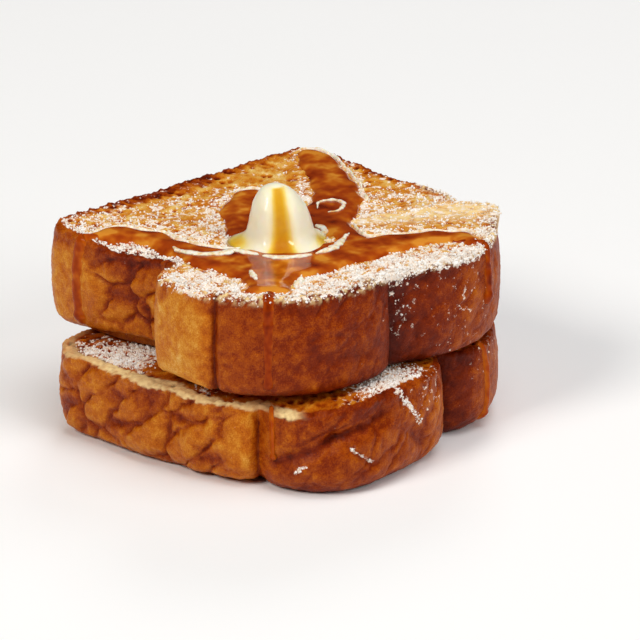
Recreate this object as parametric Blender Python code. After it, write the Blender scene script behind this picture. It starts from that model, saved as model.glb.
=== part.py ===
"""French toast: two thick loaf slices, one on the other, with a knob of butter in a pool of syrup.

Run it with  blender --background --python part.py  or from Blender's text editor.
Metres, +Z up. The origin is on the table, under the middle of the stack's bounding box.
+Y points to the flat side of the loaf (the bottom of the baking tin), -Y to its risen crown.
"""

import math

import bmesh
import bpy
from mathutils import Matrix, Vector, noise
from mathutils.bvhtree import BVHTree

MM = 0.001

# ---- driving dimensions, in millimetres ------------------------------------------------------
THICK_LOWER = 30.7  # thickness of the lower slice
THICK_UPPER = 33.8  # thickness of the upper slice
CONTACT_GAP = 0.3  # air between pieces that touch
TOP_ROUND = 1.8  # radius of a slice's upper cut edge
LOWER_FOOT_ROUND = 8.0  # radius of the lower edge, squashed round in the pan
UPPER_FOOT_ROUND = 4.5
CROWN_FLARE = 2.0  # how far the crown's wall stands out at the foot beyond the rim
WALL_BELLY = 1.8  # how far the crust swells out at half height
FACE_DISH = 0.9  # how far the fried face sinks between rim and middle
FACE_BUMP = 0.55  # depth of the hollows in the fried face
NOTCH_BLEND = 1.2  # radius that softens the notch between two lobes of the loaf

LOWER_TURN = math.radians(8.0)  # the slices lie a little askew
UPPER_TURN = math.radians(2.4)
STACK_SHIFT = (2.12, 5.58)  # brings the middle of the bounding box over the origin

RING_POINTS = 118  # points round a slice's edge, closest on the folded wall
FACE_RINGS = (0.34, 0.6, 0.79, 0.92)  # rings of the fried face, as shares of the rim's radius
WALL_RINGS = 15  # rings down the crust
UNDER_RINGS = (0.93, 0.5)

BUTTER_AT = (-9.6, -10.1)  # middle of the butter on the upper slice
BUTTER_HEIGHT = 19.5
BUTTER_EDGE = 0.5  # thickness of the melted skirt near its edge
BUTTER_FACING = math.radians(229)  # the way the butter's groove faces

SYRUP_DEPTH = 1.3  # how far the pool rises from its edge to its middle
SYRUP_EDGE = 0.35  # thickness of the pool at its very edge
SYRUP_CELL = 3.9  # grid of the pool's surface
DRIP_STEP = 2.3  # length of a step along a drip

# ---- the loaf's outline ----------------------------------------------------------------------
# Each lobe is a box with round corners: x from, x to, y from, y to, corner radius; and a circle
# that trims it: centre x, centre y, radius. The tin shapes the body; above the tin's rim the
# dough swells out in shoulders and two humps.
UPPER_LOBES = {
    "body": (-54.4, 62.8, -21.0, 56.5, 8.5, 0.0, 0.0, 150.0),
    "shoulder": (-63.2, -20.0, -33.5, -4.0, 6.0, -20.0, -14.5, 43.2),
    "left_hump": (-62.0, -3.0, -56.8, -31.0, 8.0, -20.0, -14.5, 42.5),
    "saddle": (-12.0, 24.0, -56.2, -30.0, 6.0, 0.0, 0.0, 150.0),
    "right_hump": (-12.0, 62.2, -60.0, -19.0, 13.0, 20.5, -18.0, 41.5),
}
LOWER_LOBES = {
    "body": (-64.0, 60.0, -24.0, 46.5, 11.0, 0.0, 0.0, 150.0),
    "shoulder": (-61.5, -20.0, -38.0, -2.0, 14.0, 0.0, 0.0, 150.0),
    "left_hump": (-53.5, 15.5, -64.6, -10.0, 24.0, 0.0, 0.0, 150.0),
    "right_hump": (12.0, 61.5, -59.0, -14.0, 12.0, 20.0, -18.0, 41.5),
}

# ---- the crust -------------------------------------------------------------------------------
# The crust sags below the crumb in places: bearing, depth, half width in degrees.
UPPER_SAGS = ((161, 2.8, 25),)
LOWER_SAGS = ((163, 1.8, 30), (186, 2.2, 20), (203, 2.4, 18), (222, 3.2, 20), (300, 1.0, 30))
# The wall's foot curls up in places: bearing, height, half width in degrees.
UPPER_LIFTS = ((160, 3.2, 26), (195, 1.8, 16))
LOWER_LIFTS = ((206, 1.0, 14),)
# Broad hollows pressed in the wall: bearing, depth, half width in degrees.
UPPER_WAISTS = ((170, 5.2, 20), (12, 3.0, 30))
LOWER_WAISTS = ((188, 1.0, 10),)
# The rim flares out in places: bearing, reach, half width in degrees.
UPPER_LIPS = ((333, 6.0, 11),)
# Creases from top to bottom: bearing, depth, width to the left and to the right in millimetres,
# and the share of the depth that reaches the rim.
UPPER_CREASES = ((184, 1.6, 3.0, 0.9, 0.4), (207.7, 3.4, 1.5, 1.8, 0.5), (263.5, 4.2, 1.6, 11.0, 0.25),
                 (344, 3.0, 2.0, 3.0, 0.9))
LOWER_CREASES = ((213.5, 3.4, 1.8, 2.2, 0.5), (285, 2.0, 2.5, 6.0, 0.5))
# Gashes across the wall: from bearing and height to bearing and height, depth, half width.
UPPER_GASHES = ((236, 13, 252, 10, 0.8, 3.0),)
LOWER_GASHES = ((219, 11, 233, 20, 2.4, 3.0), (233, 20, 247, 24, 2.2, 2.8), (258, 14, 264, 7, 1.6, 2.4))
FOLD_PITCH = 11.0  # mean width of a fold
FOLD_STRETCH = 1.5  # folds are this much longer than wide
FOLD_LEAN = math.radians(52)  # they lean this far from the horizontal
FOLD_DEPTH = 2.9
FOLD_EDGE = 3.2  # width of the crease between two folds

# ---- the syrup: arms as tapered rounds, (x, y, radius) from point to point --------------------
SYRUP_ARMS = (
    ((-55.0, 36.0, 3.4), (-45.5, 32.0, 6.6), (-40.5, 22.0, 6.0), (-40.5, 9.0, 6.4), (-38.0, -6.0, 9.0),
     (-30.0, -20.0, 14.5)),
    ((-34.0, -29.0, 10.5), (-46.0, -41.5, 4.4), (-49.0, -45.0, 3.4)),
    ((-22.0, -25.5, 14.0), (0.0, -31.0, 9.3), (15.0, -34.5, 7.0), (28.0, -40.5, 5.3), (34.0, -46.5, 4.2),
     (33.0, -53.0, 3.4)),
    ((8.0, -23.0, 5.0), (13.0, -8.0, 5.5), (20.0, 0.0, 8.0)),
    ((-4.0, -4.0, 13.0), (21.0, 1.5, 9.0), (31.0, 7.5, 8.0), (38.5, 17.0, 7.4), (45.0, 27.0, 6.8),
     (51.0, 38.0, 6.4), (55.5, 45.5, 6.0)),
    ((-8.0, 4.0, 11.0), (2.0, 20.0, 9.0), (12.0, 30.0, 6.5)),
)
POOL_MARGIN = 4.0  # the pool stops this far inside the rim, where the drips take over
# Drips down a wall: bearing from the slice's middle in degrees, half width at the rim and at the
# round lower end, height of that end above the slice's foot, lean in degrees.
UPPER_DRIPS = {
    "corner": (147.0, 2.2, 2.4, 3.0, 0.0),
    "front": (220.4, 2.5, 2.1, 3.5, 0.0),
    "crown": (301.5, 1.8, 2.2, 14.0, -4.0),
}
LOWER_DRIPS = {
    "syrup_run_front": (216.6, 2.0, 2.4, 10.5, 1.0),
    "syrup_run_crown": (297.0, 1.8, 2.4, 2.4, 1.0),
}
# How a run starts on the fried face: distance from the rim, half width, lift, thickness, and the
# tilt of its outward direction in degrees. An upper run starts in the pool, a lower one at the rim.
FROM_POOL = (
    (10.0, 1.0, 0.3, 0.3, 90), (7.5, 1.2, 0.3, 0.4, 90), (5.0, 1.6, 0.2, 0.6, 85), (2.8, 2.0, 0.0, 0.9, 78)
)
FROM_RIM = ((2.2, 1.2, 0.0, 0.3, 78),)


def smooth_step(value, low, high):
    """0 below low, 1 above high, and a smooth rise between."""
    t = min(max((value - low) / (high - low), 0.0), 1.0)
    return t * t * (3.0 - 2.0 * t)


def smooth_union(a, b, blend):
    """The distance to two shapes joined with a fillet of about the size of blend."""
    h = max(blend - abs(a - b), 0.0) / blend
    return min(a, b) - h * h * blend / 4.0


def box_distance(x, y, box):
    """Distance from (x, y) to a box with round corners; negative inside."""
    low_x, high_x, low_y, high_y, radius = box
    qx = abs(x - (low_x + high_x) / 2) - (high_x - low_x) / 2 + radius
    qy = abs(y - (low_y + high_y) / 2) - (high_y - low_y) / 2 + radius
    return math.hypot(max(qx, 0.0), max(qy, 0.0)) + min(max(qx, qy), 0.0) - radius


def outline_distance(x, y, lobes):
    """Distance to a slice's outline in plan; negative inside."""
    joined = None
    for *box, centre_x, centre_y, radius in lobes.values():
        lobe = max(box_distance(x, y, box), math.hypot(x - centre_x, y - centre_y) - radius)
        joined = lobe if joined is None else smooth_union(joined, lobe, NOTCH_BLEND)
    return joined


def outline_radius(angle, lobes):
    """How far the outline is from the slice's middle in the direction angle."""
    cos, sin = math.cos(angle), math.sin(angle)
    radius = 95.0
    for _ in range(80):
        gap = outline_distance(radius * cos, radius * sin, lobes)
        if gap < 0.002:
            break
        radius -= 0.7 * gap
    wobble = noise.noise(Vector((cos, sin, 0.3)) * 3.1)
    return radius + 0.7 * wobble


def hill(bearing, centre, half_width):
    """1 at the centre bearing, falling smoothly to 0 at half_width degrees on either side."""
    off = abs((bearing - centre + 180) % 360 - 180)
    return 1 - smooth_step(off, 0.0, half_width)


class Slice:
    """One slice of the loaf in its own frame, in millimetres, and its place in the stack."""

    def __init__(self, seed, thick, base, turn, foot_round, **form):
        self.seed, self.thick, self.base, self.turn = seed, thick, base, turn
        self.foot_round = foot_round
        self.lobes, self.folds, self.sags, self.lifts = (form[k] for k in ("lobes", "folds", "sags", "lifts"))
        self.waists, self.creases, self.gashes = (form[k] for k in ("waists", "creases", "gashes"))
        self.lips = form.get("lips", ())

    def radius(self, angle):
        """How far the outline is from the slice's middle in the direction angle."""
        bearing = math.degrees(angle) % 360
        pressed = sum(depth * hill(bearing, centre, half) for centre, depth, half in self.waists)
        return outline_radius(angle, self.lobes) - pressed

    def sag(self, angle):
        """How far the crust's upper edge hangs below the crumb at this bearing."""
        bearing = math.degrees(angle) % 360
        return sum(depth * hill(bearing, centre, half) for centre, depth, half in self.sags)

    def lift(self, angle):
        """How far the foot of the wall curls up at this bearing."""
        bearing = math.degrees(angle) % 360
        return sum(height * hill(bearing, centre, half) for centre, height, half in self.lifts)

    def ring(self, count):
        """count points round the outline: (angle, radius, distance along it)."""
        fine = 1440
        radii = [self.radius(math.tau * i / fine) for i in range(fine)]
        run, load = [0.0], [0.0]
        for i in range(fine):
            here, there = radii[i], radii[(i + 1) % fine]
            step = math.sqrt(here**2 + there**2 - 2 * here * there * math.cos(math.tau / fine))
            run.append(run[-1] + step)
            load.append(load[-1] + step * self.detail(360 * i / fine))
        found, at = [], 0
        for k in range(count):
            goal = load[-1] * k / count
            while load[at + 1] <= goal:
                at += 1
            share = (goal - load[at]) / (load[at + 1] - load[at])
            angle = math.tau * (at + share) / fine
            found.append((angle, self.radius(angle), run[at] + share * (run[at + 1] - run[at])))
        return found

    def detail(self, bearing):
        """How closely the points round the outline lie at this bearing."""
        creases = sum(hill(bearing, crease[0], 7) for crease in self.creases)
        return 0.35 + 1.7 * self.folds(bearing) + 0.7 * creases + 0.5 * (190 < bearing < 300)

    def profile(self, share):
        """The wall's profile from the fried face (0) to the underside (1): (inset, height)."""
        straight = self.thick - TOP_ROUND - self.foot_round
        top, foot = TOP_ROUND * math.pi / 2, self.foot_round * math.pi / 2
        run = share * (top + straight + foot)
        if run < top:
            turn = run / TOP_ROUND
            inset, height = TOP_ROUND * (1 - math.sin(turn)), self.thick - TOP_ROUND * (1 - math.cos(turn))
        elif run < top + straight:
            inset, height = 0.0, self.thick - TOP_ROUND - (run - top)
        else:
            turn = (run - top - straight) / self.foot_round
            inset, height = self.foot_round * (1 - math.cos(turn)), self.foot_round * (1 - math.sin(turn))
        across = height / self.thick
        return inset - WALL_BELLY * 4 * across * (1 - across), height

    def fold(self, along, height, angle):
        """How far the puffy folds of the crust are pressed in at a place on the wall."""
        cos, sin = math.cos(FOLD_LEAN), math.sin(FOLD_LEAN)
        u = (along * cos + height * sin) / (FOLD_PITCH * FOLD_STRETCH)
        v = (height * cos - along * sin) / FOLD_PITCH
        near, second = noise.voronoi(Vector((u, v, self.seed)))[0][:2]
        crease = math.exp(-(((second - near) * FOLD_PITCH / FOLD_EDGE) ** 2))
        puff = min(near, 1.0) ** 2
        edges = smooth_step(height, 0.5, 5.0) * (1 - 0.6 * smooth_step(height, self.thick - 4, self.thick))
        return self.folds(math.degrees(angle) % 360) * FOLD_DEPTH * (crease + 0.5 * puff) * edges

    def crease(self, angle, radius, height):
        """How far the long creases and the gashes are pressed in at a place on the wall."""
        bearing = math.degrees(angle) % 360
        pressed = 0.0
        for centre, depth, left, right, at_rim in self.creases:
            off = math.radians((bearing - centre + 180) % 360 - 180) * radius
            profile = math.exp(-abs(off) / (left if off < 0 else right))
            below = 1 - smooth_step(height, self.thick - 9, self.thick)
            pressed += depth * profile * (at_rim + (1 - at_rim) * below)
        for b1, h1, b2, h2, depth, width in self.gashes:
            x = math.radians((bearing - b1 + 180) % 360 - 180) * radius
            dx, dy = math.radians(b2 - b1) * radius, h2 - h1
            share = min(max((x * dx + (height - h1) * dy) / (dx * dx + dy * dy), 0.0), 1.0)
            off = math.hypot(x - share * dx, height - h1 - share * dy)
            pressed += depth * math.exp(-((off / width) ** 2))
        return pressed

    def face_drop(self, x, y, share, sag):
        """How far the fried face lies below the slice's full thickness; share is 1 at the rim."""
        hollow = 0.5 + 0.5 * noise.noise(Vector((x, y, 40.0 * self.seed)) / 9.0)
        droop = sag * smooth_step(share, 0.76, 1.0)
        return FACE_DISH * (1 - share**4) + FACE_BUMP * hollow * hollow * 2 + 0.15 + droop

    def to_stack(self, x, y, z):
        """From the slice's own frame to the stack's, in metres."""
        cos, sin = math.cos(self.turn), math.sin(self.turn)
        return Vector((
            (x * cos - y * sin + STACK_SHIFT[0]) * MM,
            (x * sin + y * cos + STACK_SHIFT[1]) * MM,
            (z + self.base) * MM,
        ))

    def wall_point(self, angle, radius, along, share):
        """A point on the wall, in the slice's frame."""
        inset, height = self.profile(share)
        bearing, level = math.degrees(angle) % 360, height / self.thick
        pressed = self.fold(along, height, angle) + self.crease(angle, radius, height)
        flare = CROWN_FLARE * hill(bearing, 240, 60) * (1 - level)
        lip = sum(reach * hill(bearing, centre, half) for centre, reach, half in self.lips)
        reach = radius - inset - pressed + flare + lip * level**4
        x, y = reach * math.cos(angle), reach * math.sin(angle)
        lowered = self.sag(angle) * level**2 - self.lift(angle) * (1 - level) ** 2
        rough = self.face_drop(x, y, 1.0, 0.0) * smooth_step(height, self.thick * 0.6, self.thick)
        return x, y, height - lowered - rough

    def face_point(self, angle, rim, share):
        """A point on the fried face at a share of the rim's radius."""
        x, y = share * rim * math.cos(angle), share * rim * math.sin(angle)
        return x, y, self.thick - self.face_drop(x, y, share, self.sag(angle))

    def face_height(self, x, y):
        """Height of the fried face over (x, y) in the slice's frame."""
        angle = math.atan2(y, x)
        rim = self.radius(angle) - TOP_ROUND
        return self.thick - self.face_drop(x, y, min(math.hypot(x, y) / rim, 1.0), self.sag(angle))


def upper_folds(bearing):
    """Share of the folds' depth by bearing: strong on the tin-side wall, faint elsewhere."""
    tin_wall = smooth_step(bearing, 145, 154) * (1 - smooth_step(bearing, 180, 187))
    crown = 0.2 * smooth_step(bearing, 215, 235) * (1 - smooth_step(bearing, 345, 355))
    back = 0.2 * (1 - smooth_step(bearing, 100, 120)) * smooth_step(bearing, 5, 20)
    return tin_wall + crown + back


def lower_folds(bearing):
    """The lower slice is creased all along its tin-side wall and over the left hump."""
    tin_wall = smooth_step(bearing, 138, 148) * (1 - smooth_step(bearing, 203, 213))
    crown = 0.45 * smooth_step(bearing, 218, 228) * (1 - smooth_step(bearing, 280, 300))
    back = 0.2 * (1 - smooth_step(bearing, 100, 120)) * smooth_step(bearing, 5, 20)
    return tin_wall + crown + back


LOWER = Slice(
    0.37, THICK_LOWER, 0.0, LOWER_TURN, LOWER_FOOT_ROUND,
    lobes=LOWER_LOBES, folds=lower_folds, sags=LOWER_SAGS, lifts=LOWER_LIFTS,
    waists=LOWER_WAISTS, creases=LOWER_CREASES, gashes=LOWER_GASHES,
)
UPPER = Slice(
    0.11, THICK_UPPER, THICK_LOWER + CONTACT_GAP, UPPER_TURN, UPPER_FOOT_ROUND,
    lobes=UPPER_LOBES, folds=upper_folds, sags=UPPER_SAGS, lifts=UPPER_LIFTS,
    waists=UPPER_WAISTS, creases=UPPER_CREASES, gashes=UPPER_GASHES, lips=UPPER_LIPS,
)


# ---- Blender helpers -------------------------------------------------------------------------
def clear_scene():
    for obj in list(bpy.data.objects):
        bpy.data.objects.remove(obj, do_unlink=True)


def new_collection(name):
    made = bpy.data.collections.new(name)
    bpy.context.scene.collection.children.link(made)
    return made


def material(name, colour, roughness, **sockets):
    """A Principled material; colour is linear RGB."""
    made = bpy.data.materials.new(name)
    made.use_nodes = True
    shader = made.node_tree.nodes["Principled BSDF"]
    shader.inputs["Base Color"].default_value = (*colour, 1.0)
    shader.inputs["Roughness"].default_value = roughness
    for socket, value in sockets.items():
        shader.inputs[socket.replace("_", " ")].default_value = value
    made.diffuse_color = (*colour, 1.0)
    return made


def object_from(bm, name, collection, *materials):
    """Closes a bmesh into a named object with its normals out."""
    bmesh.ops.recalc_face_normals(bm, faces=bm.faces)
    mesh = bpy.data.meshes.new(name)
    bm.to_mesh(mesh)
    bm.free()
    for used in materials:
        mesh.materials.append(used)
    mesh.shade_smooth()
    mesh.set_sharp_from_angle(angle=math.radians(40))
    obj = bpy.data.objects.new(name, mesh)
    collection.objects.link(obj)
    return obj


# ---- the slices ------------------------------------------------------------------------------
def toast(slice_, name, collection, crust, crumb):
    """A slice, from a sphere whose rings become the fried face, the crust wall and the underside."""
    faces = len(FACE_RINGS)
    bands = faces + WALL_RINGS + len(UNDER_RINGS) + 1
    ring = slice_.ring(RING_POINTS)
    bm = bmesh.new()
    bmesh.ops.create_uvsphere(bm, u_segments=RING_POINTS, v_segments=bands, radius=1.0)
    band_of = {vert: round(math.acos(max(-1.0, min(1.0, vert.co.z))) / math.pi * bands) for vert in bm.verts}
    for vert, band in band_of.items():
        place = round(math.atan2(vert.co.y, vert.co.x) / math.tau * RING_POINTS) % RING_POINTS
        angle, radius, along = ring[place]
        if band <= faces:
            rim = math.hypot(*slice_.wall_point(angle, radius, along, 0.0)[:2])
            spot = slice_.face_point(angle, rim, (0.0, *FACE_RINGS)[band])
        elif band <= faces + WALL_RINGS:
            spot = slice_.wall_point(angle, radius, along, (band - faces - 1) / (WALL_RINGS - 1))
        else:
            share = (*UNDER_RINGS, 0.0)[band - faces - WALL_RINGS - 1]
            foot = math.hypot(*slice_.wall_point(angle, radius, along, 1.0)[:2])
            spot = (share * foot * math.cos(angle), share * foot * math.sin(angle), 0.0)
        vert.co = slice_.to_stack(*spot)
    for face in bm.faces:
        across = [band_of[vert] for vert in face.verts]
        face.material_index = int(max(across) <= faces + 1 or min(across) >= faces + WALL_RINGS)
    return object_from(bm, name, collection, crust, crumb)


# ---- the butter ------------------------------------------------------------------------------
def butter_point(angle, share):
    """A point on the butter: share runs from the top (0) down to the edge of the melted skirt (1)."""
    height = BUTTER_HEIGHT * (1 - share) ** 0.9
    level = height / BUTTER_HEIGHT
    body = 10.7 * math.sqrt(max(1 - level**2.6, 0.0)) * (1 - 0.12 * level)
    skirt = 4.6 * math.exp(-height / 1.6)
    petals = 1 + 0.16 * math.sin(3 * angle + 0.6) + 0.1 * math.sin(5 * angle + 2.0)
    across = math.atan2(math.sin(angle - BUTTER_FACING), math.cos(angle - BUTTER_FACING))
    groove = 2.9 * math.exp(-((across / 0.30) ** 2)) * smooth_step(share, 0.05, 0.35)
    reach = body + skirt * petals - groove * (1 - 0.55 * math.exp(-height / 1.2))
    lean = 1.3 * level**2
    return reach * math.cos(angle) - 0.75 * lean, reach * math.sin(angle) + 0.65 * lean, height


def butter(collection, dairy):
    """The knob of butter: a bell with a melted groove down its front and a soft skirt."""
    around, bands = 36, 13
    foot = bands - 2
    bm = bmesh.new()
    bmesh.ops.create_uvsphere(bm, u_segments=around, v_segments=bands, radius=1.0)
    floor = butter_floor() - UPPER.base
    for vert in bm.verts:
        band = round(math.acos(max(-1.0, min(1.0, vert.co.z))) / math.pi * bands)
        angle = math.atan2(vert.co.y, vert.co.x)
        x, y, z = butter_point(angle, band / foot) if band <= foot else (0.0, 0.0, 0.0)
        z = z + BUTTER_EDGE if band < foot else 0.0
        vert.co = UPPER.to_stack(BUTTER_AT[0] + x, BUTTER_AT[1] + y, floor + z)
    return object_from(bm, "butter", collection, dairy)


def butter_floor():
    """Height of the butter's flat foot: just above the highest bread under it."""
    reach = 17.0
    steps = range(-3, 4)
    under = [
        UPPER.face_height(BUTTER_AT[0] + reach * i / 3, BUTTER_AT[1] + reach * j / 3)
        for i in steps
        for j in steps
    ]
    return max(under) + CONTACT_GAP + UPPER.base


# ---- the syrup -------------------------------------------------------------------------------
def arm_distance(x, y):
    """Distance to the edge of the syrup pool in plan; negative inside."""
    nearest = 1e9
    for arm in SYRUP_ARMS:
        for (x1, y1, r1), (x2, y2, r2) in zip(arm, arm[1:]):
            dx, dy = x2 - x1, y2 - y1
            share = min(max(((x - x1) * dx + (y - y1) * dy) / (dx * dx + dy * dy), 0.0), 1.0)
            gap = math.hypot(x - x1 - share * dx, y - y1 - share * dy) - (r1 + share * (r2 - r1))
            nearest = min(nearest, gap) if nearest > 1e8 else smooth_union(nearest, gap, 3.0)
    return nearest + 0.9 * noise.noise(Vector((x, y, 7.0)) / 6.0)


def pool_distance(x, y):
    """Distance to the edge of the pool, which stops short of the rim and leaves room for the butter."""
    dx, dy = x - BUTTER_AT[0], y - BUTTER_AT[1]
    foot = math.hypot(*butter_point(math.atan2(dy, dx), 1.0)[:2]) + CONTACT_GAP + 0.1
    rim = math.hypot(x, y) - UPPER.radius(math.atan2(y, x)) + POOL_MARGIN
    return max(arm_distance(x, y), rim, foot - math.hypot(dx, dy))


def pool_sheet():
    """The pool's plan as a flat mesh: a grid cut along the pool's edge, in millimetres."""
    bm = bmesh.new()
    half = 62.0
    count = round(2 * half / SYRUP_CELL)
    spots = [-half + 2 * half * i / count for i in range(count + 1)]
    inside = {(i, j): -pool_distance(x, y) for i, x in enumerate(spots) for j, y in enumerate(spots)}
    made = {}

    def vert(key, x, y):
        if key not in made:
            made[key] = bm.verts.new((x, y, 0.0))
        return made[key]

    for i in range(count):
        for j in range(count):
            corners = ((i, j), (i + 1, j), (i + 1, j + 1), (i, j + 1))
            outline = []
            for here, there in zip(corners, corners[1:] + corners[:1]):
                if inside[here] > 0:
                    outline.append(vert(here, spots[here[0]], spots[here[1]]))
                if (inside[here] > 0) != (inside[there] > 0):
                    first, last = sorted((here, there))
                    share = inside[first] / (inside[first] - inside[last])
                    share = min(max(share, 0.15), 0.85)
                    x = spots[first[0]] + share * (spots[last[0]] - spots[first[0]])
                    y = spots[first[1]] + share * (spots[last[1]] - spots[first[1]])
                    outline.append(vert((first, last), x, y))
            if len(outline) > 2:
                bm.faces.new(outline)
    return bm


def pool(collection, syrup, bread):
    """The pool: its plan, thickened from just above the bread to its rounded upper surface."""
    bm = pool_sheet()
    surface = BVHTree.FromObject(bread, bpy.context.evaluated_depsgraph_get())
    lifted = bmesh.ops.extrude_face_region(bm, geom=list(bm.faces))["geom"]
    upper = {item for item in lifted if isinstance(item, bmesh.types.BMVert)}
    for vert in bm.verts:
        x, y = vert.co.x, vert.co.y
        place = UPPER.to_stack(x, y, 0.0)
        steps = (-2 * MM, 0, 2 * MM)
        around = [Vector((place.x + i, place.y + j, 0.2)) for i in steps for j in steps]
        hits = [surface.ray_cast(start, Vector((0.0, 0.0, -1.0)))[0] for start in around]
        height = max(hit.z for hit in hits if hit) / MM + CONTACT_GAP + 0.05
        if vert in upper:
            share = min(max(-pool_distance(x, y) / 4.0, 0.0), 1.0)
            height += SYRUP_EDGE + SYRUP_DEPTH * math.sqrt(1 - (1 - share) ** 2)
        vert.co = (place.x, place.y, height * MM)
    return object_from(bm, "syrup", collection, syrup)


def drip_stations(slice_, bearing, rim_width, foot_width, end_height, lean, starts):
    """Places along a drip: (point, outward direction, half width, lift of its foot, thickness)."""
    angle = math.radians(bearing)
    stations = []
    for inward, half_width, over, thickness, tilt in starts:
        reach = slice_.radius(angle) - inward
        x, y = reach * math.cos(angle), reach * math.sin(angle)
        stations.append((angle, (x, y, slice_.face_height(x, y)), tilt, half_width, over, thickness))
    length = (TOP_ROUND + slice_.foot_round) * math.pi / 2 + slice_.thick - TOP_ROUND - slice_.foot_round
    ring = slice_.ring(720)

    def on_wall(run):
        turned = angle + math.radians(lean) * run / length
        along = min(ring, key=lambda spot: abs(spot[0] - turned % math.tau))[2]
        return turned, slice_.wall_point(turned, slice_.radius(turned), along, run / length)

    end = 6.0
    while end < 0.95 * length and on_wall(end)[1][2] > end_height:
        end += 0.5
    count = round((end - 0.6) / DRIP_STEP)
    for k in range(count + 1):
        run = 0.6 + (end - 0.6) * k / count
        turned, point = on_wall(run)
        stream = rim_width + (0.75 * foot_width - rim_width) * run / end
        ahead = (end - run) / (1.3 * foot_width)
        bulb = foot_width * math.sqrt(max(1 - (ahead - 1) ** 2, 0.0))
        half_width = max(bulb, stream if ahead > 1 else 0.25)
        tilt = 65 * (1 - smooth_step(run, 0.0, 5.0))
        stations.append((turned, point, tilt, half_width, 0.0, 0.65 * half_width + 0.25 * bulb))
    return stations


def drip(slice_, name, collection, syrup, bread, *form):
    """A run of syrup over the rim and down the wall: a rounded strip that lies on the bread."""
    surface = BVHTree.FromObject(bread, bpy.context.evaluated_depsgraph_get())
    across = [math.sin(math.radians(turn)) for turn in (-90, -50, 0, 50, 90)]
    turn = Matrix.Rotation(slice_.turn, 3, "Z")
    bm = bmesh.new()
    rows = []
    for angle, point, tilt, half_width, over, thickness in drip_stations(slice_, *form):
        level, rise = math.cos(math.radians(tilt)), math.sin(math.radians(tilt))
        outward = turn @ Vector((math.cos(angle) * level, math.sin(angle) * level, rise))
        side = turn @ Vector((-math.sin(angle), math.cos(angle), 0.0))
        down = side.cross(outward)
        base = slice_.to_stack(*point)
        inner, outer = [], []
        for share in across:
            spot = base + side * share * half_width * MM
            tries = ((0, 0), (1.3, 0), (-1.3, 0), (0, 1.3), (0, -1.3))
            starts = [spot + (side * i + down * j + outward * 10) * MM for i, j in tries]
            hits = [surface.ray_cast(start, -outward, 0.02) for start in starts]
            heights = [10 - hit[3] / MM for hit in hits if hit[0] is not None]
            height = max(heights, default=0.0) + CONTACT_GAP + 0.05 + over
            inner.append(bm.verts.new(spot + outward * height * MM))
            height += 0.3 + thickness * math.sqrt(1 - share * share)
            outer.append(bm.verts.new(spot + outward * height * MM))
        rows.append(inner + outer[::-1])
    for here, there in zip(rows, rows[1:]):
        for k in range(len(here)):
            after = (k + 1) % len(here)
            bm.faces.new((here[k], here[after], there[after], there[k]))
    for cap in (rows[0], rows[-1]):
        half = len(cap) // 2
        for k in range(half - 1):
            bm.faces.new((cap[k], cap[k + 1], cap[-k - 2], cap[-k - 1]))
    return object_from(bm, name, collection, syrup)


def apply_modifiers(obj):
    """Replaces the mesh by what its modifiers make."""
    graph = bpy.context.evaluated_depsgraph_get()
    mesh = bpy.data.meshes.new_from_object(obj.evaluated_get(graph))
    obj.modifiers.clear()
    obj.data = mesh


def fuse(obj, others):
    """Joins the others to obj with one Boolean union and removes them."""
    group = new_collection(obj.name + "_joined")
    for other in others:
        for owner in list(other.users_collection):
            owner.objects.unlink(other)
        group.objects.link(other)
    union = obj.modifiers.new("join", "BOOLEAN")
    union.operation, union.operand_type, union.collection = "UNION", "COLLECTION", group
    union.solver = "MANIFOLD"
    apply_modifiers(obj)
    for other in others:
        bpy.data.objects.remove(other, do_unlink=True)
    bpy.data.collections.remove(group)


def keep_largest(obj):
    """Drops the scraps that a cut leaves loose beside the main body."""
    bm = bmesh.new()
    bm.from_mesh(obj.data)
    bmesh.ops.dissolve_degenerate(bm, dist=1e-7, edges=bm.edges)
    left, islands = set(bm.verts), []
    while left:
        front = [left.pop()]
        island = list(front)
        while front:
            here = front.pop()
            near = {edge.other_vert(here) for edge in here.link_edges} & left
            left -= near
            front.extend(near)
            island.extend(near)
        islands.append(island)
    islands.sort(key=len, reverse=True)
    bmesh.ops.delete(bm, geom=[vert for island in islands[1:] for vert in island], context="VERTS")
    bm.to_mesh(obj.data)
    bm.free()
    obj.data.shade_smooth()
    obj.data.set_sharp_from_angle(angle=math.radians(40))


# ---- the whole -------------------------------------------------------------------------------
def main():
    clear_scene()
    shown = new_collection("french_toast")
    joined = new_collection("runs_joined_to_the_pool")
    crust = material("browned crust", (0.34, 0.115, 0.028), 0.55)
    crumb = material("fried crumb", (0.62, 0.32, 0.09), 0.7)
    dairy = material("butter", (0.9, 0.72, 0.33), 0.35, Subsurface_Weight=0.2)
    amber = material("maple syrup", (0.36, 0.075, 0.006), 0.08, IOR=1.49, Coat_Weight=0.6)

    under = toast(LOWER, "toast_lower", shown, crust, crumb)
    bread = toast(UPPER, "toast_upper", shown, crust, crumb)
    butter(shown, dairy)
    syrup = pool(shown, amber, bread)

    runs = [
        drip(UPPER, "run_" + name, joined, amber, bread, *sizes, FROM_POOL)
        for name, sizes in UPPER_DRIPS.items()
    ]
    fuse(syrup, runs)
    keep_largest(syrup)
    bpy.data.collections.remove(joined)
    for name, sizes in LOWER_DRIPS.items():
        drip(LOWER, name, shown, amber, under, *sizes, FROM_RIM)


main()
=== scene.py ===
# %% [markdown]
# # French toast, dressed
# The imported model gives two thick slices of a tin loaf, a knob of butter, a pool of maple syrup and
# two runs of syrup. They are right in size and place, but plain. Each one is made again here from
# the same rule, with far more points, so that the folds of the crust, the torn crumb
# and the edge of the syrup are real shapes. Then come the things that are too fine for a solid:
# milky streaks of melting butter, and powdered sugar.

import math

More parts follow.
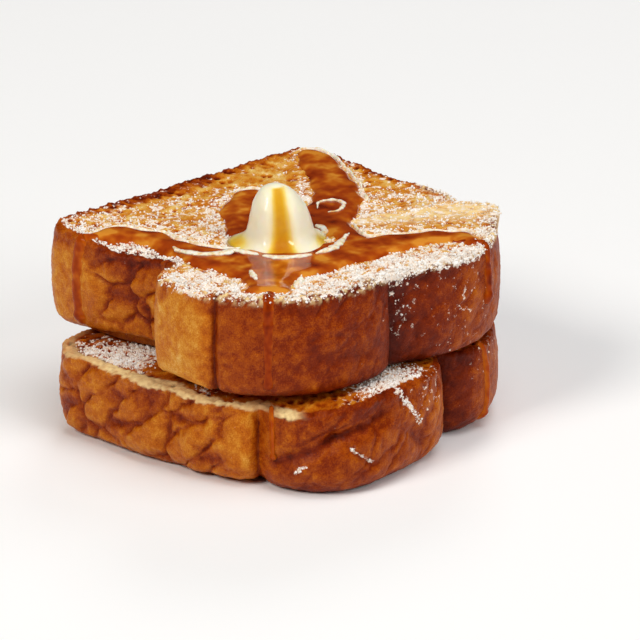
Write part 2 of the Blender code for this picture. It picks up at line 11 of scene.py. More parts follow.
import bmesh
import bpy
import numpy as np
from mathutils import Matrix, Vector, noise
from mathutils.bvhtree import BVHTree


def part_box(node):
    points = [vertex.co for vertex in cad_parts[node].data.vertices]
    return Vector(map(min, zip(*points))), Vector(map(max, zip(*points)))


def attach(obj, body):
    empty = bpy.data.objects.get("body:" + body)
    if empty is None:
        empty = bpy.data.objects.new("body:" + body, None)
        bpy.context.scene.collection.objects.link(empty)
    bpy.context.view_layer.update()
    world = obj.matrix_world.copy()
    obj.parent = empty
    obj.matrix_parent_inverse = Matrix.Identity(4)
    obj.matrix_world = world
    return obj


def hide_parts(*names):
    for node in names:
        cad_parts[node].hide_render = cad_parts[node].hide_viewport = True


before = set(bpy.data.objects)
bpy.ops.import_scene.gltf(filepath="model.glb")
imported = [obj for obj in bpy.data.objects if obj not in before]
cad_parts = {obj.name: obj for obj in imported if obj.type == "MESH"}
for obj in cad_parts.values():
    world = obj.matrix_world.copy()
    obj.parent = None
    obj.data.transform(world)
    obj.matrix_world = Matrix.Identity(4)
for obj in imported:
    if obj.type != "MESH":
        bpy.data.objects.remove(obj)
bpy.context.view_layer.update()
MM = 0.001
print("nodes:", sorted(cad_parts))

# %% [markdown]
# ## Small tools
# A colour is written as the hex value one would pick on a screen, and Blender wants linear light,
# so one function turns the first into the second. Another adds a shader node with its settings and
# its links, because a material is a list of such nodes. The fields that shape bread are smooth
# steps and hills, the same as a sculptor's soft brush, and they work on whole arrays at once.


# %% Colour and node helpers
def linear(hex_colour):
    """An sRGB hex colour such as "#C98640" as linear red, green, blue, alpha."""
    parts = [int(hex_colour[i : i + 2], 16) / 255 for i in (1, 3, 5)]
    return (*(c / 12.92 if c <= 0.04045 else ((c + 0.055) / 1.055) ** 2.4 for c in parts), 1.0)


# A Mix node has several sockets named A and B, so those that mix colours go by their numbers.
MIX_FACTOR, MIX_A, MIX_B, MIX_RESULT = 0, 6, 7, 2


def add_node(tree, kind, links=None, values=None, stops=(), **settings):
    """Adds a shader node. settings are its properties or, by socket name, its input values;
    links and values go by a socket's name or number, and stops are a ramp's (position, hex)."""
    made = tree.nodes.new(kind)
    for name, value in settings.items():
        if hasattr(made, name):
            setattr(made, name, value)
        else:
            made.inputs[name.replace("_", " ")].default_value = value
    for socket, value in (values or {}).items():
        made.inputs[socket].default_value = value
    for socket, source in (links or {}).items():
        tree.links.new(source, made.inputs[socket])
    if stops:
        elements = made.color_ramp.elements
        for element, (position, colour) in ((elements[0], stops[0]), (elements[1], stops[-1])):
            element.position, element.color = position, linear(colour)
        for position, colour in stops[1:-1]:
            elements.new(position).color = linear(colour)
    return made


def new_material(name, **values):
    """A material, its node tree and its Principled shader, which gets the values by socket name."""
    made = bpy.data.materials.new(name)
    made.use_nodes = True
    shader = made.node_tree.nodes["Principled BSDF"]
    for socket, value in values.items():
        shader.inputs[socket.replace("_", " ")].default_value = value
    return made, made.node_tree, shader


def smooth_step(value, low, high):
    """0 below low, 1 above high, and a smooth rise between."""
    t = np.clip((value - low) / (high - low), 0.0, 1.0)
    return t * t * (3.0 - 2.0 * t)


def hill(bearing, centre, half_width):
    """1 at the centre bearing, falling smoothly to 0 at half_width degrees on either side."""
    off = np.abs((bearing - centre + 180) % 360 - 180)
    return 1 - smooth_step(off, 0.0, half_width)


def grain(points, scale, seed=0.0, octaves=1):
    """Perlin noise, about -1 to 1, at an array of points in millimetres; scale in millimetres."""
    shift = Vector((seed, 1.7 * seed, -seed))
    if octaves == 1:
        return np.array([noise.noise(Vector(p) / scale + shift) for p in points])
    return np.array([noise.fractal(Vector(p) / scale + shift, 0.9, 2.1, octaves) for p in points])


print("linear #C98640 is", [round(c, 3) for c in linear("#C98640")])

# %% [markdown]
# ## The loaf's outline
# A tin loaf has straight sides where the tin held it, and above the tin's rim it swells into
# shoulders and two humps. Sliced, that is the outline of each piece. Every lobe is a box with round
# corners, trimmed by a circle, and the lobes melt into each other with a small fillet. A distance
# function says how far any point is from the lobes, and walking in along a ray until that distance
# is zero gives the outline. It is the quickest way to a soft outline with real notches in it.

# %% Driving dimensions, in millimetres
THICK_LOWER = 30.7
THICK_UPPER = 33.8
CONTACT_GAP = 0.3
TOP_ROUND = 1.8
LOWER_FOOT_ROUND = 8.0
UPPER_FOOT_ROUND = 4.5
CROWN_FLARE = 2.0
WALL_BELLY = 1.8
FACE_DISH = 0.9
FACE_BUMP = 0.55
NOTCH_BLEND = 1.2
LOWER_TURN = math.radians(8.0)
UPPER_TURN = math.radians(2.4)
STACK_SHIFT = (2.12, 5.58)

# Each lobe: x from, x to, y from, y to, corner radius; trimming circle: centre x, centre y, radius.
UPPER_LOBES = (
    (-54.4, 62.8, -21.0, 56.5, 8.5, 0.0, 0.0, 150.0),
    (-63.2, -20.0, -33.5, -4.0, 6.0, -20.0, -14.5, 43.2),
    (-62.0, -3.0, -56.8, -31.0, 8.0, -20.0, -14.5, 42.5),
    (-12.0, 24.0, -56.2, -30.0, 6.0, 0.0, 0.0, 150.0),
    (-12.0, 62.2, -60.0, -19.0, 13.0, 20.5, -18.0, 41.5),
)
LOWER_LOBES = (
    (-64.0, 60.0, -24.0, 46.5, 11.0, 0.0, 0.0, 150.0),
    (-61.5, -20.0, -38.0, -2.0, 14.0, 0.0, 0.0, 150.0),
    (-53.5, 15.5, -64.6, -10.0, 24.0, 0.0, 0.0, 150.0),
    (12.0, 61.5, -59.0, -14.0, 12.0, 20.0, -18.0, 41.5),
)


# %% Distance to the outline
BEYOND_LOBES = 95.0  # the walk inwards starts at this distance from the slice's middle
RIM_SAMPLES = 2880  # places at which the length of the outline is measured


def box_distance(x, y, box):
    """Distance from (x, y) to a box with round corners; negative inside."""
    low_x, high_x, low_y, high_y, radius = box
    qx = np.abs(x - (low_x + high_x) / 2) - (high_x - low_x) / 2 + radius
    qy = np.abs(y - (low_y + high_y) / 2) - (high_y - low_y) / 2 + radius
    outside = np.hypot(np.maximum(qx, 0.0), np.maximum(qy, 0.0))
    return outside + np.minimum(np.maximum(qx, qy), 0.0) - radius


def smooth_union(a, b, blend):
    """The distance to two shapes joined with a fillet of about the size of blend."""
    h = np.maximum(blend - np.abs(a - b), 0.0) / blend
    return np.minimum(a, b) - h * h * blend / 4.0


def outline_distance(x, y, lobes):
    """Distance to a slice's outline in plan; negative inside."""
    joined = None
    for *box, centre_x, centre_y, radius in lobes:
        lobe = np.maximum(box_distance(x, y, box), np.hypot(x - centre_x, y - centre_y) - radius)
        joined = lobe if joined is None else smooth_union(joined, lobe, NOTCH_BLEND)
    return joined


def outline_radius(angle, lobes):
    """How far the outline is from the slice's middle in each direction of the array angle."""
    cos, sin = np.cos(angle), np.sin(angle)
    radius = np.full_like(angle, BEYOND_LOBES)
    for _ in range(80):
        gap = outline_distance(radius * cos, radius * sin, lobes)
        radius = radius - 0.7 * np.where(gap > 0.002, gap, 0.0)
    wobble = [noise.noise(Vector((c, s, 0.3)) * 3.1) for c, s in zip(cos, sin)]
    return radius + 0.7 * np.array(wobble)


print("crown of the upper slice:", round(float(outline_radius(np.array([4.2]), UPPER_LOBES)[0]), 1), "mm")

# %% [markdown]
# ## The crust
# The side that lay against the tin is soft and puckered: it folds in lozenges that lean over, with
# a sharp crease between them. Voronoi cells, stretched and leaning, are just such lozenges, and the
# difference between the nearest and the second nearest cell is zero exactly on the crease. The
# crown has only a few deep clefts where two lumps of dough met, and gashes where the skin tore.

# %% Folds, creases, sags: bearings in degrees, the rest in millimetres
UPPER_SAGS = ((161, 2.8, 25),)
LOWER_SAGS = ((163, 1.8, 30), (186, 2.2, 20), (203, 2.4, 18), (222, 3.2, 20), (300, 1.0, 30))
UPPER_LIFTS = ((160, 3.2, 26), (195, 1.8, 16))
LOWER_LIFTS = ((206, 1.0, 14),)
UPPER_WAISTS = ((170, 5.2, 20), (12, 3.0, 30))
LOWER_WAISTS = ((188, 1.0, 10),)
UPPER_LIPS = ((333, 6.0, 11),)
UPPER_CREASES = (
    (184, 1.6, 3.0, 0.9, 0.4),
    (207.7, 3.4, 1.5, 1.8, 0.5),
    (263.5, 4.2, 1.6, 11.0, 0.25),
    (344, 3.0, 2.0, 3.0, 0.9),
)
LOWER_CREASES = ((213.5, 3.4, 1.8, 2.2, 0.5), (285, 2.0, 2.5, 6.0, 0.5))
UPPER_GASHES = ((236, 13, 252, 10, 0.8, 3.0),)
LOWER_GASHES = (
    (219, 11, 233, 20, 2.4, 3.0), (233, 20, 247, 24, 2.2, 2.8), (258, 14, 264, 7, 1.6, 2.4),
    (236, 17.0, 242.5, 9.4, 1.1, 1.3),
)
# Width of a fold, its length over its width, the lean of its long side, and its depth.
UPPER_FOLD = (9.2, 1.4, math.radians(52), 2.9)
LOWER_FOLD = (8.6, 2.7, math.radians(43), 2.3)
FOLD_EDGE = 0.47  # share of its width over which a fold swells up to its full height
FOLD_WARP = 0.2  # how far unevenness bends the creases out of line, as a share of the width


def upper_folds(bearing):
    """Share of the folds' depth by bearing: strong on the tin-side wall, faint elsewhere."""
    tin_wall = smooth_step(bearing, 145, 154) * (1 - smooth_step(bearing, 180, 187))
    crown = 0.2 * smooth_step(bearing, 215, 235) * (1 - smooth_step(bearing, 345, 355))
    back = 0.2 * (1 - smooth_step(bearing, 100, 120)) * smooth_step(bearing, 5, 20)
    return tin_wall + crown + back


def lower_folds(bearing):
    """The lower slice is creased all along its tin-side wall and over the left hump."""
    tin_wall = smooth_step(bearing, 138, 148) * (1 - smooth_step(bearing, 203, 213))
    crown = 0.45 * smooth_step(bearing, 218, 228) * (1 - smooth_step(bearing, 280, 300))
    back = 0.2 * (1 - smooth_step(bearing, 100, 120)) * smooth_step(bearing, 5, 20)
    return tin_wall + crown + back


# %% A slice of the loaf
class Slice:
    """One slice in its own frame, in millimetres; every method takes and gives arrays."""

    def __init__(self, seed, thick, base, turn, foot_round, **form):
        self.seed, self.thick, self.base, self.turn = seed, thick, base, turn
        self.foot_round = foot_round
        self.lobes, self.folds, self.sags, self.lifts = (form[k] for k in ("lobes", "folds", "sags", "lifts"))
        self.waists, self.creases, self.gashes = (form[k] for k in ("waists", "creases", "gashes"))
        self.lips, self.fold = form.get("lips", ()), form["fold"]

    def radius(self, angle):
        """How far the outline is from the slice's middle in the direction angle."""
        bearing = np.degrees(angle) % 360
        pressed = sum(depth * hill(bearing, centre, half) for centre, depth, half in self.waists)
        return outline_radius(angle, self.lobes) - pressed

    def sag(self, bearing):
        """How far the crust's upper edge hangs below the crumb at this bearing."""
        return sum(depth * hill(bearing, centre, half) for centre, depth, half in self.sags)

    def ring(self, count):
        """count points evenly round the outline: angle, radius, distance along it."""
        fine = np.arange(RIM_SAMPLES) * math.tau / RIM_SAMPLES
        radii = self.radius(fine)
        after = np.roll(radii, -1)
        steps = np.sqrt(radii**2 + after**2 - 2 * radii * after * math.cos(math.tau / RIM_SAMPLES))
        run = np.concatenate([[0.0], np.cumsum(steps)])
        goal = run[-1] * np.arange(count) / count
        angle = np.interp(goal, run, np.arange(RIM_SAMPLES + 1) * math.tau / RIM_SAMPLES)
        return angle, self.radius(angle), goal

    def profile(self, share):
        """The wall from the fried face (0) to the underside (1): (inset, height)."""
        top, foot = TOP_ROUND * math.pi / 2, self.foot_round * math.pi / 2
        straight = self.thick - TOP_ROUND - self.foot_round
        run = share * (top + straight + foot)
        turn = np.clip(run / TOP_ROUND, 0, math.pi / 2)
        under = np.clip((run - top - straight) / self.foot_round, 0, math.pi / 2)
        middle = np.clip(run - top, 0, straight)
        inset = TOP_ROUND * (1 - np.sin(turn)) + self.foot_round * (1 - np.cos(under))
        height = self.thick - TOP_ROUND * (1 - np.cos(turn)) - middle - self.foot_round * np.sin(under)
        across = height / self.thick
        return inset - WALL_BELLY * 4 * across * (1 - across), height

    def cells(self, along, height):
        """Distance in millimetres from the nearest crease between two folds of the crust."""
        width, stretch, lean, _ = self.fold
        cos, sin = math.cos(lean), math.sin(lean)
        spots = np.column_stack([along, height, np.full_like(along, 9.0)])
        along = along + FOLD_WARP * width * grain(spots, 6.5, 71.0, 2)
        height = height + FOLD_WARP * width * grain(spots, 6.5, 83.0, 2)
        u = (along * cos + height * sin) / (width * stretch)
        v = (height * cos - along * sin) / width
        near = [noise.voronoi(Vector((a, b, self.seed)))[0][:2] for a, b in zip(u, v)]
        near = np.array(near)
        strength = 0.4 + 0.6 * smooth_step(grain(spots, 9.0, 57.0), -0.45, 0.2)
        return (near[:, 1] - near[:, 0]) * width, near[:, 0], strength

    def press(self, angle, radius, along, height):
        """How far the wall is pressed in, and how near it is to the bottom of a crease (0 to 1)."""
        bearing = np.degrees(angle) % 360
        share = self.folds(bearing)
        edges = smooth_step(height, 0.5, 5.0) * (1 - 0.6 * smooth_step(height, self.thick - 4, self.thick))
        gap, near, strength = self.cells(along, height)
        pillow = strength * (1 - np.clip(gap / (FOLD_EDGE * self.fold[0]), 0.0, 1.0) ** 0.62)
        pressed = share * self.fold[3] * edges * (pillow + 0.5 * np.minimum(near, 1.0) ** 2)
        # cleft says how near a point lies to the bottom of a fold's crease, a crease or a gash; it later
        # darkens the wall's tone as painted shade.
        cleft = np.clip(share, 0, 1) * edges * strength * np.exp(-((gap / 1.05) ** 2))
        for centre, depth, left, right, at_rim in self.creases:
            off = np.radians((bearing - centre + 180) % 360 - 180) * radius
            across = np.exp(-np.abs(off) / np.where(off < 0, left, right))
            below = 1 - smooth_step(height, self.thick - 9, self.thick)
            pressed = pressed + depth * across * (at_rim + (1 - at_rim) * below)
            thin = np.exp(-np.abs(off) / (0.25 * np.where(off < 0, left, right) + 0.35))
            cleft = np.maximum(cleft, 0.9 * thin * (0.3 + 0.7 * below))
        for b1, h1, b2, h2, depth, width in self.gashes:
            x = np.radians((bearing - b1 + 180) % 360 - 180) * radius
            dx, dy = np.radians(b2 - b1) * radius, h2 - h1
            part = np.clip((x * dx + (height - h1) * dy) / (dx * dx + dy * dy), 0.0, 1.0)
            off = np.hypot(x - part * dx, height - h1 - part * dy)
            pressed = pressed + depth * np.exp(-((off / width) ** 2))
            cleft = np.maximum(cleft, 0.85 * min(depth, 2) / 2 * np.exp(-((off / (0.55 * width)) ** 2)))
        return pressed, cleft

    def face_drop(self, x, y, share, sag):
        """How far the fried face lies below the slice's full thickness; share is 1 at the rim."""
        spots = np.column_stack([x, y, np.full_like(x, 40.0 * self.seed)])
        hollow = 0.5 + 0.5 * grain(spots, 9.0)
        droop = sag * smooth_step(share, 0.76, 1.0)
        return FACE_DISH * (1 - share**4) + FACE_BUMP * hollow * hollow * 2 + 0.15 + droop

    def face_height(self, x, y):
        """Height of the fried face over (x, y) in the slice's frame."""
        angle = np.arctan2(y, x)
        rim = self.radius(angle) - TOP_ROUND
        share = np.minimum(np.hypot(x, y) / rim, 1.0)
        return self.thick - self.face_drop(x, y, share, self.sag(np.degrees(angle) % 360))

    def wall_points(self, angle, radius, along, share):
        """Points on the wall in the slice's frame, and how near each is to a crease."""
        inset, height = self.profile(share)
        bearing = np.degrees(angle) % 360
        pressed, cleft = self.press(angle, radius, along, height)
        level = height / self.thick
        flare = CROWN_FLARE * hill(bearing, 240, 60) * (1 - level)
        lip = sum(reach * hill(bearing, centre, half) for centre, reach, half in self.lips)
        reach = radius - inset - pressed + flare + lip * level**4
        x, y = reach * np.cos(angle), reach * np.sin(angle)
        lift = sum(rise * hill(bearing, centre, half) for centre, rise, half in self.lifts)
        lowered = self.sag(bearing) * level**2 - lift * (1 - level) ** 2
        rough = self.face_drop(x, y, 1.0, 0.0) * smooth_step(height, self.thick * 0.6, self.thick)
        return np.column_stack([x, y, height - lowered - rough]), cleft

    def to_stack(self, points):
        """From the slice's own frame to the stack's, still in millimetres."""
        cos, sin = math.cos(self.turn), math.sin(self.turn)
        x, y, z = points.T
        return np.column_stack([
            x * cos - y * sin + STACK_SHIFT[0],
            x * sin + y * cos + STACK_SHIFT[1],
            z + self.base,
        ])


LOWER = Slice(
    0.37, THICK_LOWER, 0.0, LOWER_TURN, LOWER_FOOT_ROUND,
    lobes=LOWER_LOBES, folds=lower_folds, sags=LOWER_SAGS, lifts=LOWER_LIFTS,
    waists=LOWER_WAISTS, creases=LOWER_CREASES, gashes=LOWER_GASHES, fold=LOWER_FOLD,
)
UPPER = Slice(
    0.11, THICK_UPPER, THICK_LOWER + CONTACT_GAP, UPPER_TURN, UPPER_FOOT_ROUND,
    lobes=UPPER_LOBES, folds=upper_folds, sags=UPPER_SAGS, lifts=UPPER_LIFTS,
    waists=UPPER_WAISTS, creases=UPPER_CREASES, gashes=UPPER_GASHES, lips=UPPER_LIPS, fold=UPPER_FOLD,
)
print("length of crust round the upper slice:", round(float(UPPER.ring(4)[2][-1] / 0.75)), "mm")

# %% [markdown]
# ## Where the syrup lies
# The pool is a few wide arms of syrup that run out from under the butter to the rim, so its plan is
# again a distance: to a chain of tapered rounds. The sugar and the colour of the bread both have to
# know where the syrup is, so the rule comes before them.

# %% The pool's plan
BUTTER_AT = (-9.6, -10.1)
BUTTER_HEIGHT = 19.5
BUTTER_FACING = math.radians(229)
SYRUP_DEPTH = 1.3
SYRUP_EDGE = 0.35
POOL_MARGIN = 4.0
SYRUP_ARMS = (
    ((-55.0, 36.5, 3.2), (-43.4, 32.2, 5.8), (-38.2, 21.5, 5.0), (-38.6, 9.0, 5.4), (-37.0, -6.0, 8.4),
     (-30.0, -20.0, 14.5)),
    ((-34.0, -29.0, 9.0), (-45.0, -40.0, 6.4), (-49.0, -45.0, 3.4)),
    ((-22.0, -25.5, 14.0), (0.0, -31.0, 9.3), (15.0, -34.5, 7.0), (28.0, -40.5, 5.3), (34.0, -46.5, 4.2),
     (33.0, -53.0, 3.4)),
    ((8.0, -23.0, 5.0), (13.0, -8.0, 5.5), (20.0, 0.0, 8.0)),
    ((-4.0, -4.0, 13.0), (21.0, 1.5, 9.0), (31.0, 7.5, 8.0), (38.5, 17.0, 7.4), (45.0, 27.0, 6.8),
     (51.0, 38.0, 6.4), (55.5, 45.5, 6.0)),
    ((-8.0, 4.0, 11.0), (2.0, 20.0, 9.0), (12.0, 30.0, 6.5)),
)


def to_segment(x, y, start, end):
    """Distance to the segment from start to end, and where along it (0 to 1) the nearest place is."""
    dx, dy = end[0] - start[0], end[1] - start[1]
    share = np.clip(((x - start[0]) * dx + (y - start[1]) * dy) / (dx * dx + dy * dy), 0.0, 1.0)
    return np.hypot(x - start[0] - share * dx, y - start[1] - share * dy), share


def pool_distance(x, y):
    """Distance to the edge of the pool in the upper slice's plan; negative inside."""
    nearest = None
    for arm in SYRUP_ARMS:
        for (x1, y1, r1), (x2, y2, r2) in zip(arm, arm[1:]):
            away, share = to_segment(x, y, (x1, y1), (x2, y2))
            gap = away - (r1 + share * (r2 - r1))
            nearest = gap if nearest is None else smooth_union(nearest, gap, 3.0)
    spots = np.column_stack([x, y, np.full_like(x, 7.0)])
    rim = np.hypot(x, y) - UPPER.radius(np.arctan2(y, x)) + POOL_MARGIN
    return np.maximum(nearest + 0.9 * grain(spots, 6.0), rim)


edge_away = -float(pool_distance(*np.array(BUTTER_AT).reshape(2, 1))[0])
print("the butter stands", round(edge_away, 1), "mm inside the pool")

# %% [markdown]
# ## Building a slice
# The slice is a stack of rings, as a potter's coil pot is: rings across the fried face, down the
# wall and under the foot. A ring round the rim needs nearly a thousand points to show crumbs, but
# the same number near the middle would be a waste, so the rings halve their points as they shrink,
# and a row of triangles joins a ring to the next with half as many.

# %% Rings and stitching
ROUND = 896  # points round the crust, about half a millimetre apart
WALL_ROWS = 64


def stitch(faces, outer, inner, count, inner_count):
    """Faces between two rings, given by the index of their first points."""
    if count == inner_count:
        for k in range(count):
            after = (k + 1) % count
            faces.append((outer + k, outer + after, inner + after, inner + k))
        return
    for k in range(inner_count):
        a, b, c = outer + 2 * k, outer + 2 * k + 1, outer + (2 * k + 2) % count
        d, e = inner + k, inner + (k + 1) % inner_count
        faces.extend([(a, b, d), (b, e, d), (b, c, e)])


def face_rings(finest):
    """(share of the rim's radius, points) for the rings of a face, from the middle out."""
    zones = ((0.03, 0.13, 56, 6), (0.15, 0.3, 112, 9), (0.32, 0.6, 224, 18), (0.612, 0.87, 448, 18))
    rings = []
    for start, end, count, rows in zones:
        rings += [(start + (end - start) * k / (rows - 1), count) for k in range(rows)]
    rings += [(0.88 + 0.112 * k / 8, finest) for k in range(9)]
    return rings


print("rings on a face:", len(face_rings(ROUND)))


# %% [markdown]
# ## Relief
# Over the large form goes the small one, pushed out along the surface's own normal so that it works
# on the face, the rim and the wall alike: blisters on the crust, pits where bubbles in the crumb
# were cut open, and a ragged lip where the knife left torn crumb. The same numbers that shape the
# bread also set its tone: raised blisters are painted a little paler and pits darker, which is
# painted light and shade that follows the relief.

# %% Browning by bearing, with painted shade in the valleys
# Bearing and tone of the wall, from 0 for burnt to 1 for pale crumb. The dip from about 262 to 280
# degrees on the upper slice and the one near 289 on the lower are painted shade in the valley
# between the humps.
UPPER_WALL_TONE = (
    (0, 0.42), (60, 0.5), (120, 0.52), (138, 0.62), (147, 0.6), (152, 0.56), (178, 0.57), (184, 0.56),
    (188, 0.67), (203, 0.67), (207, 0.52), (210, 0.44), (217, 0.4), (222, 0.37), (240, 0.35),
    (256, 0.33), (262, 0.25), (268, 0.22), (280, 0.28), (288, 0.4), (330, 0.44), (360, 0.42),
)
LOWER_WALL_TONE = (
    (0, 0.42), (60, 0.5), (120, 0.52), (140, 0.6), (170, 0.59), (200, 0.6), (206, 0.63), (212, 0.61),
    (215, 0.46), (225, 0.42), (250, 0.41), (268, 0.52), (281, 0.4), (289, 0.26), (298, 0.45), (330, 0.46),
    (360, 0.42),
)


def by_bearing(bearing, table):
    """Reads a (bearing, value) table that runs from 0 to 360 degrees."""
    at, value = zip(*table)
    return np.interp(bearing, at, value)


# %% Powdered sugar: how much lies where
def upper_sugar(x, y, bearing, inward):
    """Share of sugar on the upper slice's face; inward is the distance from the rim."""
    syrup = pool_distance(x, y)
    front = smooth_step(bearing, 182, 190) * (1 - smooth_step(bearing, 312, 322))
    drift = grain(np.column_stack([x, y, np.zeros_like(x)]), 4.5, 91.0, 2)
    band = front * smooth_step(syrup, -0.2, 1.2) * (0.56 + 0.3 * drift)
    corner = hill(bearing, 168, 18) * (1 - smooth_step(inward, 3, 8)) * (0.44 + 0.3 * drift)
    near_pool = 0.1 * (1 - smooth_step(syrup, 1.0, 7.0))
    open_face = 0.39 + 0.02 * hill(bearing, 345, 60) + 0.09 * hill(bearing, 150, 40) + 0.14 * drift
    browned = hill(bearing, 95, 62) * (1 - smooth_step(inward, 3.0, 9.0))
    open_face = open_face - 0.14 * smooth_step(0.66 * x + 0.75 * y, 18, 58) - 0.12 * browned
    field = np.maximum(np.maximum(band, corner), open_face + near_pool * (1 - front))
    return np.where(syrup < -0.3, 0.0, field)


def lower_sugar(x, y, bearing, inward):
    """Share of sugar on the strip of the lower slice's face that the upper one leaves bare."""
    left = hill(bearing, 158, 30) * smooth_step(inward, 1.0, 3.0) * 0.62
    middle = 0.4 * hill(bearing, 195, 24) * smooth_step(inward, 1.5, 4.0)
    crown = hill(bearing, 255, 32) * 0.62
    right = 0.45 * hill(bearing, 320, 30)
    return np.maximum(np.maximum(left, middle), np.maximum(crown, right))


# Streaks of sugar on the lower wall: bearing and height of both ends, half width in millimetres.
CAUGHT_IN_FOLDS = ((253, 30.0, 260.5, 17.0, 1.9), (237, 16.0, 243, 10.0, 1.0), (223.5, 8.5, 226, 11.0, 0.9))
MM_A_DEGREE = 1.08  # how far the crust runs in one degree of bearing


def wall_sugar(slice_, bearing, height):
    """Sugar that caught on the wall: in the valley between the humps and below the rim."""
    if slice_ is UPPER:
        valley = 0.34 * hill(bearing, 267, 13) * smooth_step(height, 4, 14)
        hump = 0.24 * hill(bearing, 290, 24)
        return valley + hump + 0.46 * smooth_step(height, 29, 33) * smooth_step(bearing, 182, 190)
    caught = 0.3 * hill(bearing, 268, 18) * smooth_step(height, 8, 24)
    caught = caught + 0.28 * hill(bearing, 300, 24) * smooth_step(height, 6, 24)
    for b1, h1, b2, h2, wide in CAUGHT_IN_FOLDS:
        away, _ = to_segment(MM_A_DEGREE * bearing, height, (MM_A_DEGREE * b1, h1), (MM_A_DEGREE * b2, h2))
        caught = np.maximum(caught, 0.47 * np.exp(-((away / wide) ** 2)))
    return caught


# %% Make a slice
def build_mesh(name, points, faces):
    """A smooth-shaded mesh object, its faces turned outwards, from points in millimetres."""
    mesh = bpy.data.meshes.new(name)
    mesh.from_pydata((np.asarray(points) * MM).tolist(), [], faces)
    shell = bmesh.new()
    shell.from_mesh(mesh)
    bmesh.ops.recalc_face_normals(shell, faces=shell.faces)
    shell.to_mesh(mesh)
    shell.free()
    mesh.shade_smooth()
    made = bpy.data.objects.new(name, mesh)
    bpy.context.scene.collection.objects.link(made)
    return made


def add_values(obj, **values):
    """Stores one number for each point, for the material to read."""
    for name, array in values.items():
        layer = obj.data.attributes.new(name, "FLOAT", "POINT")
        layer.data.foreach_set("value", np.asarray(array, dtype=np.float32))


# %% Points and faces of a slice
def slice_rings(slice_):
    """A slice before its relief: points and faces, then for each point its zone, bearing, share
    of the way through the zone, nearness to a crease, and distance in from the face's rim."""
    angle, radius, along = slice_.ring(ROUND)
    rings = [("face", share, count) for share, count in face_rings(ROUND)]
    rings += [("wall", k / (WALL_ROWS - 1), ROUND) for k in range(WALL_ROWS)]
    rings += [("under", share, ROUND // 2) for share in (0.985, 0.96, 0.92)]
    rings += [("under", share, ROUND // 4) for share in (0.86, 0.78, 0.7, 0.6, 0.5)]
    rings += [("under", share, ROUND // 8) for share in (0.38, 0.25, 0.12)]
    edge_top, _ = slice_.wall_points(angle, radius, along, np.zeros(ROUND))
    edge_foot, _ = slice_.wall_points(angle, radius, along, np.ones(ROUND))
    rim, foot = np.hypot(*edge_top[:, :2].T), np.hypot(*edge_foot[:, :2].T)
    bearing = np.degrees(angle) % 360
    points, starts, zones, bearings, shares, clefts = [], [], [], [], [], []
    for zone, share, count in rings:
        pick = slice(None, None, ROUND // count)
        a, b = angle[pick], bearing[pick]
        cleft = np.zeros(count)
        if zone == "wall":
            spots, cleft = slice_.wall_points(a, radius[pick], along[pick], np.full(count, share))
        else:
            reach = share * (rim if zone == "face" else foot)[pick]
            x, y = reach * np.cos(a), reach * np.sin(a)
            top = slice_.thick - slice_.face_drop(x, y, share, slice_.sag(b))
            spots = np.column_stack([x, y, top if zone == "face" else np.zeros(count)])
        starts.append((len(zones), count))
        zones += [zone] * count
        points.append(spots)
        bearings.append(b)
        shares.append(np.full(count, share))
        clefts.append(cleft)
    middle_top = slice_.thick - slice_.face_drop(np.zeros(1), np.zeros(1), 0.0, 0.0)[0]
    points.append(np.array([(0.0, 0.0, middle_top), (0.0, 0.0, 0.0)]))
    faces = []
    for (low, low_count), (high, high_count) in zip(starts, starts[1:]):
        if low_count > high_count:
            stitch(faces, low, high, low_count, high_count)
        else:
            stitch(faces, high, low, high_count, low_count)
    for middle, (first, count) in ((len(zones), starts[0]), (len(zones) + 1, starts[-1])):
        faces += [(middle, first + k, first + (k + 1) % count) for k in range(count)]
    points = np.vstack(points)
    zones = np.array(zones + ["face", "under"])
    bearings = np.concatenate([*bearings, [0.0, 0.0]])
    shares = np.concatenate([*shares, [0.0, 0.0]])
    clefts = np.concatenate([*clefts, [0.0, 0.0]])
    rim_radius = np.interp(bearings, np.append(bearing, 360), np.append(rim, rim[0]))
    inward = np.where(zones == "face", rim_radius * (1 - shares), 0.0)
    return points, faces, zones, bearings, shares, clefts, inward


